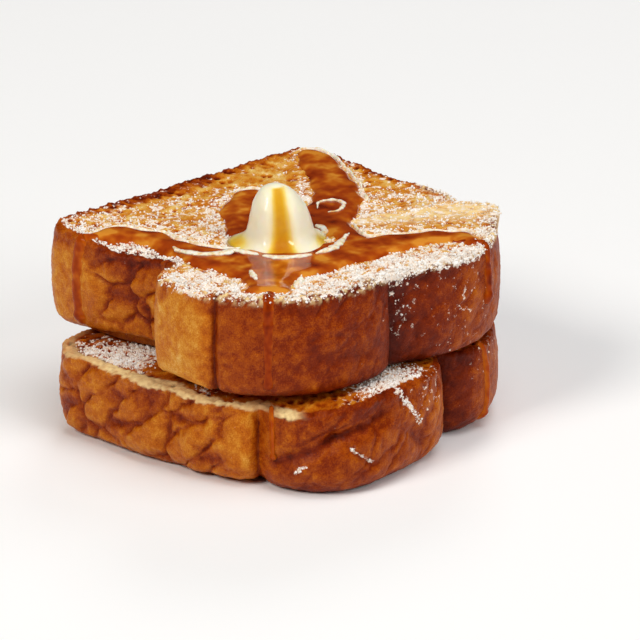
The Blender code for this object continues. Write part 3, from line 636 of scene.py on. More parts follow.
# %% Relief, browning and sugar of a slice
def build_slice(slice_, name, sugar_rule, tones):
    """The slice with its relief, and the values that its material reads."""
    points, faces, zones, bearings, shares, clefts, inward = slice_rings(slice_)
    placed = slice_.to_stack(points)
    obj = build_mesh(name + "_bread", placed, faces)
    normals = np.empty(len(placed) * 3)
    obj.data.vertices.foreach_get("normal", normals)
    normals = normals.reshape(-1, 3)

    on_face, on_wall = zones == "face", zones == "wall"
    height = points[:, 2]
    lip = np.where(on_wall, 1 - smooth_step(shares, 0.02, 0.12), 0.0)
    lip = np.where(on_face, 1 - smooth_step(inward, 0.5, 4.0), lip)
    blister = grain(placed, 2.6, 3.0, 3)
    fine = grain(placed, 0.9, 5.0)
    torn = grain(placed, 1.7, 9.0, 2)
    patch = grain(placed, 7.0, 11.0, 2)
    pits = np.array([noise.voronoi(Vector(p) / 3.4)[0][0] for p in placed])
    pit = np.clip(0.42 - pits, 0, 1) * np.clip(1.2 + 2 * patch, 0, 2)
    cells = np.array([noise.voronoi(Vector(p) / 1.3)[0][0] for p in placed])
    powder = sugar_rule(points[:, 0], points[:, 1], bearings, inward) * on_face
    powder = powder + wall_sugar(slice_, bearings, height) * on_wall
    heap = np.clip(powder - 0.35, 0, 1) * np.clip(0.75 - cells, 0, 1) * (on_face | (lip > 0.3))

    push = np.where(on_wall, 0.22 * blister + 0.1 * fine, 0.0)
    push = np.where(on_face, 0.34 * blister + 0.14 * fine - 1.5 * pit, push)
    push = push + lip * (0.55 * torn + 0.3 * fine) + 0.9 * heap
    push = np.where(zones == "under", 0.0, push)
    moved = placed + normals * push[:, None]
    moved[:, 2] = np.maximum(moved[:, 2], slice_.base + 0.02)
    obj.data.vertices.foreach_set("co", (moved * MM).ravel())
    obj.data.update()

    wall_tone = by_bearing(bearings, tones)
    wall_tone = wall_tone - 0.1 * smooth_step(height, slice_.thick - 9, slice_.thick - 1)
    wall_tone = wall_tone - 0.12 * (1 - smooth_step(height, 0.5, 4.0))
    # Raised blisters are a little paler, which is painted light; patch and fine are the crust's own mottling.
    wall_tone = wall_tone + 0.09 * blister + 0.08 * patch + 0.06 * fine
    if slice_ is UPPER:
        browned = hill(bearings, 95, 62) * (1 - smooth_step(inward, 2.0, 8.0))
        wetted = hill(bearings, 165, 24) * (1 - smooth_step(inward, 6.0, 10.0)) * (1 - browned)
        face_tone = 0.745 - 0.4 * browned - 0.48 * wetted
        face_tone = face_tone - 0.24 * (1 - smooth_step(inward, 0.5, 4.0)) * (1 - browned)
        # Darker in the creases and gashes: painted shade.
        wall_tone = wall_tone - 0.34 * clefts - 0.16 * browned * smooth_step(height, 22, 32)
        wall_tone = wall_tone - 0.18 * hill(bearings, 160, 22) * smooth_step(height, 20, 29)
        corner_crumb = hill(bearings, 333, 15) * smooth_step(height, 12, 26)
        crumb = lip * smooth_step(torn, -0.1, 0.35) * smooth_step(bearings, 178, 190)
        crumb = np.maximum(crumb, corner_crumb * smooth_step(torn, -0.9, -0.2))
    else:
        # The lower face is darker than the upper one: partly its own browning, partly painted shade from the
        # slice lying on it.
        face_tone = 0.52 - 0.12 * hill(bearings, 150, 30)
        # Darker in the creases and gashes: painted shade.
        wall_tone = wall_tone - 0.26 * clefts
        torn_edge = np.clip(hill(bearings, 165, 40) + hill(bearings, 200, 28) + hill(bearings, 222, 5), 0, 1)
        tear = 2.3 + 1.8 * grain(placed, 6.0, 19.0) + 0.9 * torn
        down = np.where(on_wall, 38.0 * shares, inward)
        crumb = torn_edge * (1 - smooth_step(down, tear - 0.5, tear + 0.5)) * (on_wall | on_face)
    # Pits darken the face and show through the torn crumb, which is painted shade in the hollows; raised
    # blisters are a little paler, which is painted light.
    crumb = crumb * np.clip(0.93 + 0.45 * fine - 1.2 * pit, 0, 1)
    face_tone = face_tone + 0.15 * patch + 0.15 * blister + 0.06 * fine - 1.1 * pit
    tone = np.where(on_wall, wall_tone, face_tone)
    tone = np.where(zones == "under", 0.5 + 0.15 * patch, tone)
    add_values(obj, tone=np.clip(tone, 0, 1), powder=powder, crumb=crumb)
    triangles = sum(len(face) - 2 for face in faces)
    deepest, highest = round(float(push.min()), 2), round(float(push.max()), 2)
    print(name, triangles, "triangles, relief", deepest, "to", highest, "mm")
    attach(obj, "root")
    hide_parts(name)
    return obj, moved, normals, powder * (1 - 0.5 * (zones == "under"))


lower, lower_points, lower_normals, lower_powder = build_slice(
    LOWER, "toast_lower", lower_sugar, LOWER_WALL_TONE
)
upper, upper_points, upper_normals, upper_powder = build_slice(
    UPPER, "toast_upper", upper_sugar, UPPER_WALL_TONE
)

# %% [markdown]
# ## The look of fried bread
# The slices are brioche soaked in egg and milk and browned in butter. Baked crust is the darkest
# part, the fried face is golden, and torn crumb is cream. Fat leaves the crust satin, so it takes a
# soft highlight. Powdered sugar is a matt white that hides what is under it, and where it is thin
# it breaks into specks. The slice's own values drive the large patches, and noise the fine ones.

# %% Bread material
BREAD_TONES = (
    (0.0, "#470F02"), (0.14, "#5A1602"), (0.3, "#7C2703"), (0.44, "#A04506"), (0.58, "#BF6710"),
    (0.72, "#D48C2A"), (0.87, "#E5BB66"), (1.0, "#F4DBA8"),
)
CRUMB = "#F8DA9C"
SUGAR = "#F3E4D3"
SPECK_MM = 0.45  # finest mottling of the crust
BLOTCH_MM = 2.4  # blotches left by milk solids browning in the pan
POWDER_MM = 2.5  # clumps of powdered sugar; the grain itself is too fine to show
POWDER_CONTRAST = 2.2  # a powder value of 0.5 covers half of the bread, 0.3 a sixth of it


def size(millimetres):
    """The scale of a noise texture whose features are about this large."""
    return 1.0 / (millimetres * MM)


def bread_material():
    made, tree, shader = new_material("egg_soaked_brioche_fried_in_butter", Specular_IOR_Level=0.12)
    spot = add_node(tree, "ShaderNodeTexCoord").outputs["Object"]
    tone, powder, crumb = (
        add_node(tree, "ShaderNodeAttribute", attribute_name=value).outputs["Fac"]
        for value in ("tone", "powder", "crumb")
    )
    for millimetres, depth in ((BLOTCH_MM, 0.18), (SPECK_MM, 0.38)):
        patches = add_node(tree, "ShaderNodeTexNoise", {"Vector": spot}, Scale=size(millimetres), Detail=3.0)
        shifted = add_node(
            tree, "ShaderNodeMath", {0: patches.outputs["Fac"]}, {1: depth, 2: -depth / 2},
            operation="MULTIPLY_ADD",
        )
        tone = add_node(tree, "ShaderNodeMath", {0: tone, 1: shifted.outputs[0]}, operation="ADD").outputs[0]
    colour = add_node(tree, "ShaderNodeValToRGB", {"Fac": tone}, stops=BREAD_TONES).outputs["Color"]
    bare = add_node(
        tree, "ShaderNodeMix", {MIX_FACTOR: crumb, MIX_A: colour}, {MIX_B: linear(CRUMB)}, data_type="RGBA"
    )
    clumps = add_node(
        tree, "ShaderNodeTexNoise", {"Vector": spot}, Scale=size(POWDER_MM), Detail=5.0, Roughness=0.7
    )
    total = add_node(
        tree, "ShaderNodeMath", {0: clumps.outputs["Fac"], 2: powder}, {1: POWDER_CONTRAST},
        operation="MULTIPLY_ADD",
    )
    cover = add_node(
        tree, "ShaderNodeMapRange", {"Value": total.outputs[0]}, interpolation_type="SMOOTHSTEP",
        From_Min=POWDER_CONTRAST / 2 + 0.44, From_Max=POWDER_CONTRAST / 2 + 0.6,
    )
    dusted = add_node(
        tree, "ShaderNodeMix", {MIX_FACTOR: cover.outputs[0], MIX_A: bare.outputs[MIX_RESULT]},
        {MIX_B: linear(SUGAR)}, data_type="RGBA",
    )
    tree.links.new(dusted.outputs[MIX_RESULT], shader.inputs["Base Color"])
    rough = add_node(tree, "ShaderNodeMapRange", {"Value": cover.outputs[0]}, To_Min=0.4, To_Max=0.92)
    tree.links.new(rough.outputs[0], shader.inputs["Roughness"])
    pores = add_node(tree, "ShaderNodeTexNoise", {"Vector": spot}, Scale=size(0.7), Detail=4.0)
    bump = add_node(tree, "ShaderNodeBump", {"Height": pores.outputs["Fac"]}, Strength=0.8, Distance=0.3 * MM)
    tree.links.new(bump.outputs[0], shader.inputs["Normal"])
    return made


bread = bread_material()
for toast in (lower, upper):
    toast.data.materials.append(bread)

# %% [markdown]
# ## Maple syrup
# Syrup lies level where the bread is uneven, wets its edge into every pore, and stands up in a
# rounded shoulder a few millimetres wide. The pool is cut out of a fine grid along its plan. Its
# shoulder starts below the bread's surface, so the bread's own relief draws the ragged shoreline.


# %% The pool
POOL_CELL = 0.62
SHOULDER = 4.0  # width of the pool's rounded edge
SINK = 0.5  # how far the pool's edge starts below the mean surface of the bread


def pool_level(x, y):
    """Height of still syrup's underside: the bread's surface without its small hollows."""
    angle = np.arctan2(y, x)
    share = np.minimum(np.hypot(x, y) / (UPPER.radius(angle) - TOP_ROUND), 1.0)
    droop = UPPER.sag(np.degrees(angle) % 360) * smooth_step(share, 0.76, 1.0)
    return UPPER.thick - FACE_DISH * (1 - share**4) - 0.42 - droop


def marching_plan(distance, half, cell):
    """A flat grid cut along the line where distance is zero: points, faces."""
    count = round(2 * half / cell)
    at = np.linspace(-half, half, count + 1)
    gx, gy = np.meshgrid(at, at, indexing="ij")
    inside = -distance(gx.ravel(), gy.ravel()).reshape(gx.shape)
    points, faces, made = [], [], {}

    def vert(key, x, y):
        if key not in made:
            made[key] = len(points)
            points.append((x, y))
        return made[key]

    wet = inside > 0
    near = wet[:-1, :-1] | wet[1:, :-1] | wet[1:, 1:] | wet[:-1, 1:]
    for i, j in np.argwhere(near):
        corners = ((i, j), (i + 1, j), (i + 1, j + 1), (i, j + 1))
        outline = []
        for here, there in zip(corners, corners[1:] + corners[:1]):
            if wet[here]:
                outline.append(vert(here, at[here[0]], at[here[1]]))
            if wet[here] != wet[there]:
                first, last = sorted((here, there))
                share = np.clip(inside[first] / (inside[first] - inside[last]), 0.08, 0.92)
                x = at[first[0]] + share * (at[last[0]] - at[first[0]])
                y = at[first[1]] + share * (at[last[1]] - at[first[1]])
                outline.append(vert((first, last), x, y))
        if len(outline) > 2:
            faces.append(outline)
    return np.array(points), faces


def rim_edges(faces):
    """The edges of a sheet that belong to one face only."""
    edges = {}
    for face in faces:
        for a, b in zip(face, face[1:] + face[:1]):
            edges[(a, b)] = True
    return [(a, b) for a, b in edges if (b, a) not in edges]


def close_sheet(faces, count):
    """The faces of a closed body from an upper sheet: the sheet, its copy below, and the sides."""
    under = [[k + count for k in face[::-1]] for face in faces]
    return faces + under + [[b, a, a + count, b + count] for a, b in rim_edges(faces)]


plan, plan_faces = marching_plan(pool_distance, 62.0, POOL_CELL)
inside = -pool_distance(*plan.T)
rise = np.sqrt(1 - (1 - np.clip(inside / SHOULDER, 0.0, 1.0)) ** 2)
level = pool_level(*plan.T)
swell = 0.22 * grain(np.column_stack([plan, np.zeros(len(plan))]), 9.0, 21.0)
top = level + (SYRUP_EDGE + SYRUP_DEPTH - 0.2 + SINK) * rise - SINK + swell * rise
spots = np.vstack([np.column_stack([plan, top]), np.column_stack([plan, level - SINK - 0.6])])
pool = build_mesh("syrup_pool", UPPER.to_stack(spots), close_sheet(plan_faces, len(plan)))
pool_inside = np.concatenate([inside, inside])
print("pool:", len(plan_faces), "cells, up to", round(float((top - level).max()), 2), "mm deep")

# %% [markdown]
# ## Runs of syrup
# Where the pool reaches the rim it spills and runs down the crust in a strip with a round bead at
# its lower end. Each strip is laid on the bread by casting rays at it, so that it dips into creases
# and rides over folds. Its rounded section starts just inside the crust.

# %% Runs
# Each run: bearing, half width at the rim and at the foot, height of its end, lean in degrees,
# thickness over half width, and how dark it is, from 0 for gold to 1 for red brown.
UPPER_DRIPS = {
    "corner": (144.8, 1.7, 1.9, 3.0, 0.0, 0.5, 0.8),
    "front": (222.4, 1.9, 1.5, 3.5, 0.0, 0.2, 1.2),
    "crown": (301.5, 1.5, 1.9, 14.0, -4.0, 0.6, 1.1),
}
LOWER_DRIPS = {
    "syrup_run_front": (217.4, 0.8, 1.3, 10.5, 1.0, 0.8, 0.62),
    "syrup_run_crown": (297.0, 1.2, 1.8, 2.4, 1.0, 0.6, 0.7),
}
RUN_STEP = 0.5
RUN_ACROSS = 15
ON_FACE = 11.0  # a run starts this far inside the rim


def run_of_syrup(slice_, carrier, name, form):
    """A strip of syrup from the pool, over the rim and down the wall."""
    bearing, rim_width, foot_width, end_height, lean, plump, dark = form
    surface = BVHTree.FromObject(carrier, bpy.context.evaluated_depsgraph_get())
    angle, rim = math.radians(bearing), float(slice_.radius(np.array([math.radians(bearing)]))[0])
    length = (TOP_ROUND + slice_.foot_round) * math.pi / 2 + slice_.thick - TOP_ROUND - slice_.foot_round
    ring_angle, _, ring_along = slice_.ring(1440)

    def on_wall(run):
        turned = angle + np.radians(lean) * run / length
        along = np.interp(turned, ring_angle, ring_along)
        return turned, slice_.wall_points(turned, slice_.radius(turned), along, run / length)[0]

    probe = np.arange(6.0, 0.95 * length, 0.25)
    heights = on_wall(probe)[1][:, 2]
    end = float(probe[np.argmax(heights <= end_height)]) if (heights <= end_height).any() else probe[-1]
    run = np.linspace(0.6, end, int((end - 0.6) / RUN_STEP))
    start = ON_FACE if slice_ is UPPER else 2.6
    inward = np.linspace(start, 1.0, int(start / RUN_STEP))
    turned, wall = on_wall(run)
    reach = rim - inward
    face_x, face_y = reach * math.cos(angle), reach * math.sin(angle)
    face = np.column_stack([face_x, face_y, slice_.face_height(face_x, face_y)])
    centres = slice_.to_stack(np.vstack([face, wall]))
    angles = np.concatenate([np.full(len(inward), angle), turned]) + slice_.turn
    tilts = np.concatenate([90 - 22 * smooth_step(-inward, -3.5, -1.0), 68 * (1 - smooth_step(run, 0, 5))])
    stream = rim_width + (0.75 * foot_width - rim_width) * run / end
    ahead = (end - run) / (1.3 * foot_width)
    bulb = foot_width * np.sqrt(np.clip(1 - (ahead - 1) ** 2, 0, 1))
    width = np.concatenate([
        rim_width * (0.5 + 0.5 * smooth_step(-inward, -start, -2.0)),
        np.maximum(bulb, np.where(ahead > 1, stream, 0.15)),
    ])
    width = width * (1 + 0.3 * grain(centres, 3.6, 31.0, 2))
    thick = plump * width + np.concatenate([np.full(len(inward), 0.1), 0.2 * bulb])
    across = np.sin(np.linspace(-math.pi / 2, math.pi / 2, RUN_ACROSS))
    rows, outward_rows, lows = [], [], []
    for centre, facing, tilt, half in zip(centres, angles, np.radians(tilts), width):
        flat = math.cos(tilt)
        outward = Vector((math.cos(facing) * flat, math.sin(facing) * flat, math.sin(tilt)))
        side = Vector((-math.sin(facing), math.cos(facing), 0.0))
        row = []
        for share in across:
            spot = (Vector(centre) + side * share * half) * MM
            hit = surface.ray_cast(spot + outward * 10 * MM, -outward, 0.02)
            row.append(10 - hit[3] / MM if hit[0] is not None else 0.0)
        lows.append(row)
        rows.append([Vector(centre) + side * share * half for share in across])
        outward_rows.append(outward)
    lows = np.array(lows)
    for _ in range(4):
        lows[1:-1] = (lows[:-2] + 2 * lows[1:-1] + lows[2:]) / 4
        lows[:, 1:-1] = (lows[:, :-2] + 2 * lows[:, 1:-1] + lows[:, 2:]) / 4
    arch = np.sqrt(np.clip(1 - across**2, 0, 1))
    upper_side = lows + 0.25 - 0.55 * (1 - arch) + thick[:, None] * arch
    points = []
    for heights in (upper_side, lows - 0.9):
        for row, outward, line in zip(rows, outward_rows, heights):
            points += [tuple(spot + outward * height) for spot, height in zip(row, line)]
    faces = []
    for i in range(len(rows) - 1):
        for j in range(RUN_ACROSS - 1):
            a = i * RUN_ACROSS + j
            faces.append([a, a + RUN_ACROSS, a + RUN_ACROSS + 1, a + 1])
    made = build_mesh(name, points, close_sheet(faces, len(rows) * RUN_ACROSS))
    thickness = np.tile(np.repeat(thick / 2.4, RUN_ACROSS) * np.tile(arch, len(rows)), 2)
    bed = np.tile(0.45 + 0.55 * arch, 2 * len(rows)) + 0.5 * grain(np.array(points), 2.2, 37.0, 2)
    no_cream = np.zeros(len(points))
    add_values(made, depth=np.clip(dark * thickness, 0, 1), cream=no_cream, under=dark * bed)
    print(name, "is", round(ON_FACE + end), "mm long")
    return made


# %% Colour values of the pool, and its pieces
# Where the syrup is painted paler and golden, which is thinner syrup and painted highlight together;
# the last spot is a painted reflection of the butter. From, to, and how wide, in the upper slice's plan.
THIN_AND_HIGHLIGHT_SPOTS = (
    ((-49.0, 37.0), (-37.4, 19.0), 2.8),
    ((14.0, -36.5), (34.0, -49.5), 2.8),
    ((-47.0, -42.0), (-43.5, -38.5), 5.0),
    ((2.0, 24.0), (10.0, 31.0), 5.0),
    ((-16.0, -31.0), (0.0, -34.0), 3.5),
    ((40.0, 18.0), (55.0, 44.0), 3.6),
    ((-37.0, -8.0), (-35.0, -20.0), 3.6),
    ((-21.0, -22.0), (-28.0, -30.0), 5.5),
)
bread_under_and_painted_highlights = 0.55 + 0.9 * grain(UPPER.to_stack(spots), 6.5, 41.0, 3)
# Paler where the spots lie: thinner syrup and painted highlight, and the butter's painted reflection.
for start, end, wide in THIN_AND_HIGHLIGHT_SPOTS:
    away, _ = to_segment(spots[:, 0], spots[:, 1], start, end)
    bread_under_and_painted_highlights = bread_under_and_painted_highlights - 0.6 * np.exp(-((away / wide) ** 2))
shore = smooth_step(pool_inside, 0.15, 0.5) * (1 - smooth_step(pool_inside, 0.7, 1.4))
FAR_SIDE = (0.8, 0.6)  # shores facing this way, away from the eye, get a pale line: partly milk solids, partly a painted highlight of the meniscus


def outwards(x, y):
    """The direction out of the pool, as two arrays, and how far it is FAR_SIDE's, from -1 to 1."""
    step = 0.6
    slope_x = pool_distance(x + step, y) - pool_distance(x - step, y)
    slope_y = pool_distance(x, y + step) - pool_distance(x, y - step)
    steepness = np.hypot(slope_x, slope_y) + 1e-6
    out_x, out_y = slope_x / steepness, slope_y / steepness
    return out_x, out_y, out_x * FAR_SIDE[0] + out_y * FAR_SIDE[1]


# A pale line along the far shores: partly milk, partly painted highlight of the meniscus.
cream_line = 0.6 * shore * smooth_step(outwards(spots[:, 0], spots[:, 1])[2], 0.1, 0.5)
add_values(pool, depth=np.clip(pool_inside / 7.0, 0, 1), cream=cream_line, under=bread_under_and_painted_highlights)

syrup_pieces = [pool]
for key, form in UPPER_DRIPS.items():
    syrup_pieces.append(run_of_syrup(UPPER, upper, "syrup_spill_" + key, form))
for key, form in LOWER_DRIPS.items():
    syrup_pieces.append(run_of_syrup(LOWER, lower, key + "_strip", form))

# %% [markdown]
# ## The look of syrup
# Maple syrup is clear sugar syrup with a refractive index near 1.49. A skin one or two millimetres
# thick is golden, and each further millimetre swallows more blue and green, until it is red brown.
# Through it one sees the mottled bread. Drawn as an opaque body whose colour follows that
# thickness, it keeps its colour in any light; a clear coat gives it the wet mirror of the real one.

# %% Syrup material
SYRUP_TONES = ((0.0, "#D98A2B"), (0.2, "#C06012"), (0.45, "#A4400A"), (0.75, "#842A06"), (1.0, "#5C1604"))
MILK_AND_HIGHLIGHT_COLOUR = "#F6E2C8"


def syrup_material(name, specular, coat):
    """Amber that deepens with the syrup's depth; specular and coat say how wet it looks."""
    made, tree, shader = new_material(
        name, Roughness=0.08, IOR=1.49, Specular_IOR_Level=specular, Coat_Weight=coat, Coat_Roughness=0.03
    )
    spot = add_node(tree, "ShaderNodeTexCoord").outputs["Object"]
    depth, cream, under = (
        add_node(tree, "ShaderNodeAttribute", attribute_name=value).outputs["Fac"]
        for value in ("depth", "cream", "under")
    )
    seen = add_node(tree, "ShaderNodeTexNoise", {"Vector": spot}, Scale=size(5.0), Detail=2.0)
    bed = add_node(
        tree, "ShaderNodeMath", {0: seen.outputs["Fac"], 2: under}, {1: 0.7}, operation="MULTIPLY_ADD"
    )
    deep = add_node(tree, "ShaderNodeMath", {0: depth}, {1: 0.3, 2: -0.22}, operation="MULTIPLY_ADD")
    thick = add_node(
        tree, "ShaderNodeMath", {0: bed.outputs[0], 2: deep.outputs[0]}, {1: 0.55}, operation="MULTIPLY_ADD"
    )
    colour = add_node(tree, "ShaderNodeValToRGB", {"Fac": thick.outputs[0]}, stops=SYRUP_TONES)
    # Along the far shores pale is mixed in: partly milk, partly painted highlight of the meniscus.
    milk_and_highlight_mixed = add_node(
        tree, "ShaderNodeMix", {MIX_FACTOR: cream, MIX_A: colour.outputs["Color"]}, {MIX_B: linear(MILK_AND_HIGHLIGHT_COLOUR)},
        data_type="RGBA",
    )
    tree.links.new(milk_and_highlight_mixed.outputs[MIX_RESULT], shader.inputs["Base Color"])
    return made


maple = syrup_material("maple_syrup", 0.36, 0.12)
film = syrup_material("maple_syrup_film", 0.07, 0.0)  # the runs, half dried on the warm crust
for piece in syrup_pieces:
    piece.data.materials.append(maple if piece is pool else film)
    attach(piece, "root")
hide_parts("syrup")
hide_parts("syrup_run_front")
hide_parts("syrup_run_crown")

# %% [markdown]
# ## Butter
# A soft knob of butter slumps into a bell. The side that faces the heat has melted into a groove,
# and what ran out of it spreads in a skirt. Whipped air and water keep the outside pale, and melted
# fat is clear and yellow, so the groove and the skirt's sides are deep yellow.

# %% Knob of butter
BUTTER_ROUND = 220
BUTTER_ROWS = 90
BUTTER_SLID = (-1.0, 0.85)  # how far the knob has slid on the syrup, in millimetres


def butter_points(angle, share):
    """Points of the butter: share runs from the top (0) down to the edge of the skirt (1)."""
    height = np.full_like(angle, BUTTER_HEIGHT * (1 - share) ** 0.9)
    level = height / BUTTER_HEIGHT
    body = 10.7 * np.sqrt(np.maximum(1 - level**3.0, 0.0)) * (1 - 0.12 * level)
    skirt = 5.3 * np.exp(-height / 1.7)
    petals = 1 + 0.16 * np.sin(3 * angle + 0.6) + 0.1 * np.sin(5 * angle + 2.0)
    across = np.arctan2(np.sin(angle - BUTTER_FACING), np.cos(angle - BUTTER_FACING))
    beside = body * np.sin(across) - 1.1 * level**2
    groove = np.exp(-((beside / (2.7 + 1.2 * share)) ** 4)) * (np.cos(across) > 0)
    groove = groove * smooth_step(share, 0.005, 0.07)
    reach = body + skirt * petals - 2.4 * groove * (1 - 0.55 * np.exp(-height / 1.2)) * (1 - 0.6 * level**3)
    lean = 2.0 * level**2
    x, y = reach * np.cos(angle) - 0.75 * lean, reach * np.sin(angle) + 0.65 * lean
    return np.column_stack([x, y, height]), groove, across, level


butter_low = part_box("butter")[0][2] / MM - UPPER.base
around = np.arange(BUTTER_ROUND) * math.tau / BUTTER_ROUND
rows, grooves, sides, levels = [], [], [], []
for k in range(1, BUTTER_ROWS + 1):
    spots, groove, across, level = butter_points(around, (k / BUTTER_ROWS) ** 1.15)
    rows.append(spots)
    grooves.append(groove)
    sides.append(across)
    levels.append(level)
apex, _, _, _ = butter_points(np.zeros(1), 0.0)
butter_spots = np.vstack([*rows, apex, [(0.0, 0.0, -0.6)]])
groove, across, level = (np.concatenate([*part, [0.0, 0.0]]) for part in (grooves, sides, levels))
smear = grain(butter_spots, 4.0, 51.0, 2)
bulge = 1 + 0.018 * smear
butter_spots[:, :2] *= bulge[:, None]
butter_spots += [BUTTER_AT[0] + BUTTER_SLID[0], BUTTER_AT[1] + BUTTER_SLID[1], butter_low + 0.3]
faces = []
for k in range(BUTTER_ROWS - 1):
    stitch(faces, (k + 1) * BUTTER_ROUND, k * BUTTER_ROUND, BUTTER_ROUND, BUTTER_ROUND)
top_point, low_point = len(butter_spots) - 2, len(butter_spots) - 1
for k in range(BUTTER_ROUND):
    after = (k + 1) % BUTTER_ROUND
    faces.append((k, after, top_point))
    edge = (BUTTER_ROWS - 1) * BUTTER_ROUND
    faces.append((edge + after, edge + k, low_point))
butter = build_mesh("butter_knob", UPPER.to_stack(butter_spots), faces)
skirt_sides = (1 - smooth_step(level, 0.03, 0.24)) * hill(np.degrees(np.abs(across)), 80, 45)
melt = np.clip(0.8 * groove + 0.62 * skirt_sides, 0, 1)
add_values(butter, melt=melt, fall=(1 - level) ** 3)
print("butter:", len(faces), "faces")

# %% Butter material
BUTTER_TONES = ((0.0, "#FFF6DC"), (0.3, "#FFEDBE"), (0.55, "#F6D668"), (0.8, "#E6AE26"), (1.0, "#C97C0E"))


def butter_material():
    made, tree, shader = new_material(
        "melting_butter", Roughness=0.28, IOR=1.45, Subsurface_Weight=0.3, Subsurface_Radius=(1.0, 0.7, 0.3),
        Subsurface_Scale=2.0 * MM, Coat_Weight=0.35, Coat_Roughness=0.12,
    )
    spot = add_node(tree, "ShaderNodeTexCoord").outputs["Object"]
    melt, fall = (
        add_node(tree, "ShaderNodeAttribute", attribute_name=value).outputs["Fac"]
        for value in ("melt", "fall")
    )
    swirl = add_node(tree, "ShaderNodeTexNoise", {"Vector": spot}, Scale=size(3.0), Detail=2.0)
    soft = add_node(
        tree, "ShaderNodeMath", {0: swirl.outputs["Fac"]}, {1: 0.16, 2: -0.06}, operation="MULTIPLY_ADD"
    )
    gathered = add_node(tree, "ShaderNodeMath", {0: melt, 1: fall}, operation="MULTIPLY")
    total = add_node(tree, "ShaderNodeMath", {0: melt, 1: soft.outputs[0]}, operation="ADD")
    deeper = add_node(
        tree, "ShaderNodeMath", {0: gathered.outputs[0], 2: total.outputs[0]}, {1: 0.28},
        operation="MULTIPLY_ADD",
    )
    colour = add_node(tree, "ShaderNodeValToRGB", {"Fac": deeper.outputs[0]}, stops=BUTTER_TONES)
    tree.links.new(colour.outputs["Color"], shader.inputs["Base Color"])
    return made


butter.data.materials.append(butter_material())
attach(butter, "root")
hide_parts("butter")

# %% [markdown]
# ## Milky streaks
# Melting butter splits: clear fat, and white milk solids that float on the syrup in soft petals
# round the knob and trail off in a comma. Each is a flattened strand that follows a few points,
# thick in the middle, and lies on whatever is below it. A pale line also runs along the pool's far
# shores, the ones facing away from the eye: partly milk, partly a painted highlight of the syrup's
# meniscus. The points of those strands are the pool's own outline.

# %% Streaks of milk
# Points in the upper slice's plan, in millimetres, with the half width at each.
STREAKS = {
    "comma": ((-40.4, 9.6, 0.6), (-41.6, 4.4, 1.1), (-40.2, -1.4, 1.5), (-36.0, -5.0, 1.5),
              (-32.0, -7.0, 1.9), (-29.6, -6.4, 1.2)),
    "left_petal": ((-28.6, -1.4, 0.7), (-28.8, -6.4, 1.3), (-27.6, -11.6, 1.4), (-26.2, -15.4, 0.9)),
    "front_petal": ((-25.8, -16.6, 0.8), (-22.8, -21.8, 1.4), (-18.4, -25.4, 1.3), (-13.4, -26.8, 0.9)),
    "right_petal": ((-12.2, -27.0, 0.8), (-6.6, -27.4, 1.4), (-1.0, -25.8, 1.6), (4.4, -22.6, 0.9),
                    (9.4, -20.4, 0.4)),
    "back_petal": ((4.0, -14.5, 0.7), (6.4, -11.0, 1.3), (6.2, -7.5, 1.0)),
    "left_fleck": ((-38.0, -24.5, 0.5), (-40.6, -28.6, 1.1), (-42.6, -32.4, 0.6)),
    "right_fleck": ((-27.6, -37.0, 0.5), (-31.6, -40.2, 1.1), (-36.4, -42.8, 0.6)),
    "swirl": ((17.6, 3.6, 0.3), (22.4, 7.8, 0.5), (27.6, 6.6, 0.7), (27.4, 1.2, 0.7), (21.6, -2.4, 0.5),
              (17.8, -0.8, 0.3)),
}
SHORE_STEP = 3  # every third point of the pool's outline shapes the pale line of milk and painted highlight along it
SHORE_OUT = 0.7  # how far outside the pool's edge that line runs
SHORE_HALF_WIDTH = 0.58
STRAND_SIDES = 14
STRAND_WANDER = 0.3  # how far a strand strays from its smooth curve


def spread(points, count):
    """count places on a smooth curve through the points."""
    points = np.array(points, dtype=float)
    padded = np.vstack([2 * points[0] - points[1], points, 2 * points[-1] - points[-2]])
    places = []
    for t in np.linspace(0, len(points) - 1, count):
        k = min(int(t), len(points) - 2)
        u = t - k
        a, b, c, d = padded[k : k + 4]
        cubic = (3 * b - a - 3 * c + d) * u**3
        places.append(0.5 * (2 * b + (c - a) * u + (2 * a - 5 * b + 4 * c - d) * u**2 + cubic))
    return np.array(places)


def top_of(surfaces, x, y):
    """Height of the highest surface below the open air over (x, y), in millimetres."""
    hits = [surface.ray_cast(Vector((x * MM, y * MM, 0.2)), Vector((0, 0, -1)))[0] for surface in surfaces]
    return max(hit.z for hit in hits if hit) / MM


def far_shores(plan_points, sheet):
    """Stretches of the pool's outline that face FAR_SIDE, as points with a half width."""
    after = dict(rim_edges(sheet))
    stretches = []
    while after:
        start, here = after.popitem()
        loop = [start]
        while here in after:
            loop.append(here)
            here = after.pop(here)
        loop = np.array(plan_points)[loop]
        loop = np.roll(loop, -int(np.argmin(outwards(*loop.T)[2])), axis=0)
        out_x, out_y, facing = outwards(*loop.T)
        loop = loop + SHORE_OUT * np.column_stack([out_x, out_y])
        turns = np.flatnonzero(np.diff(np.concatenate([[0], (facing > 0.2).astype(int), [0]])))
        for first, last in zip(turns[::2], turns[1::2]):
            if last - first > 12:
                stretches.append([(x, y, SHORE_HALF_WIDTH) for x, y in loop[first:last:SHORE_STEP]])
    return stretches


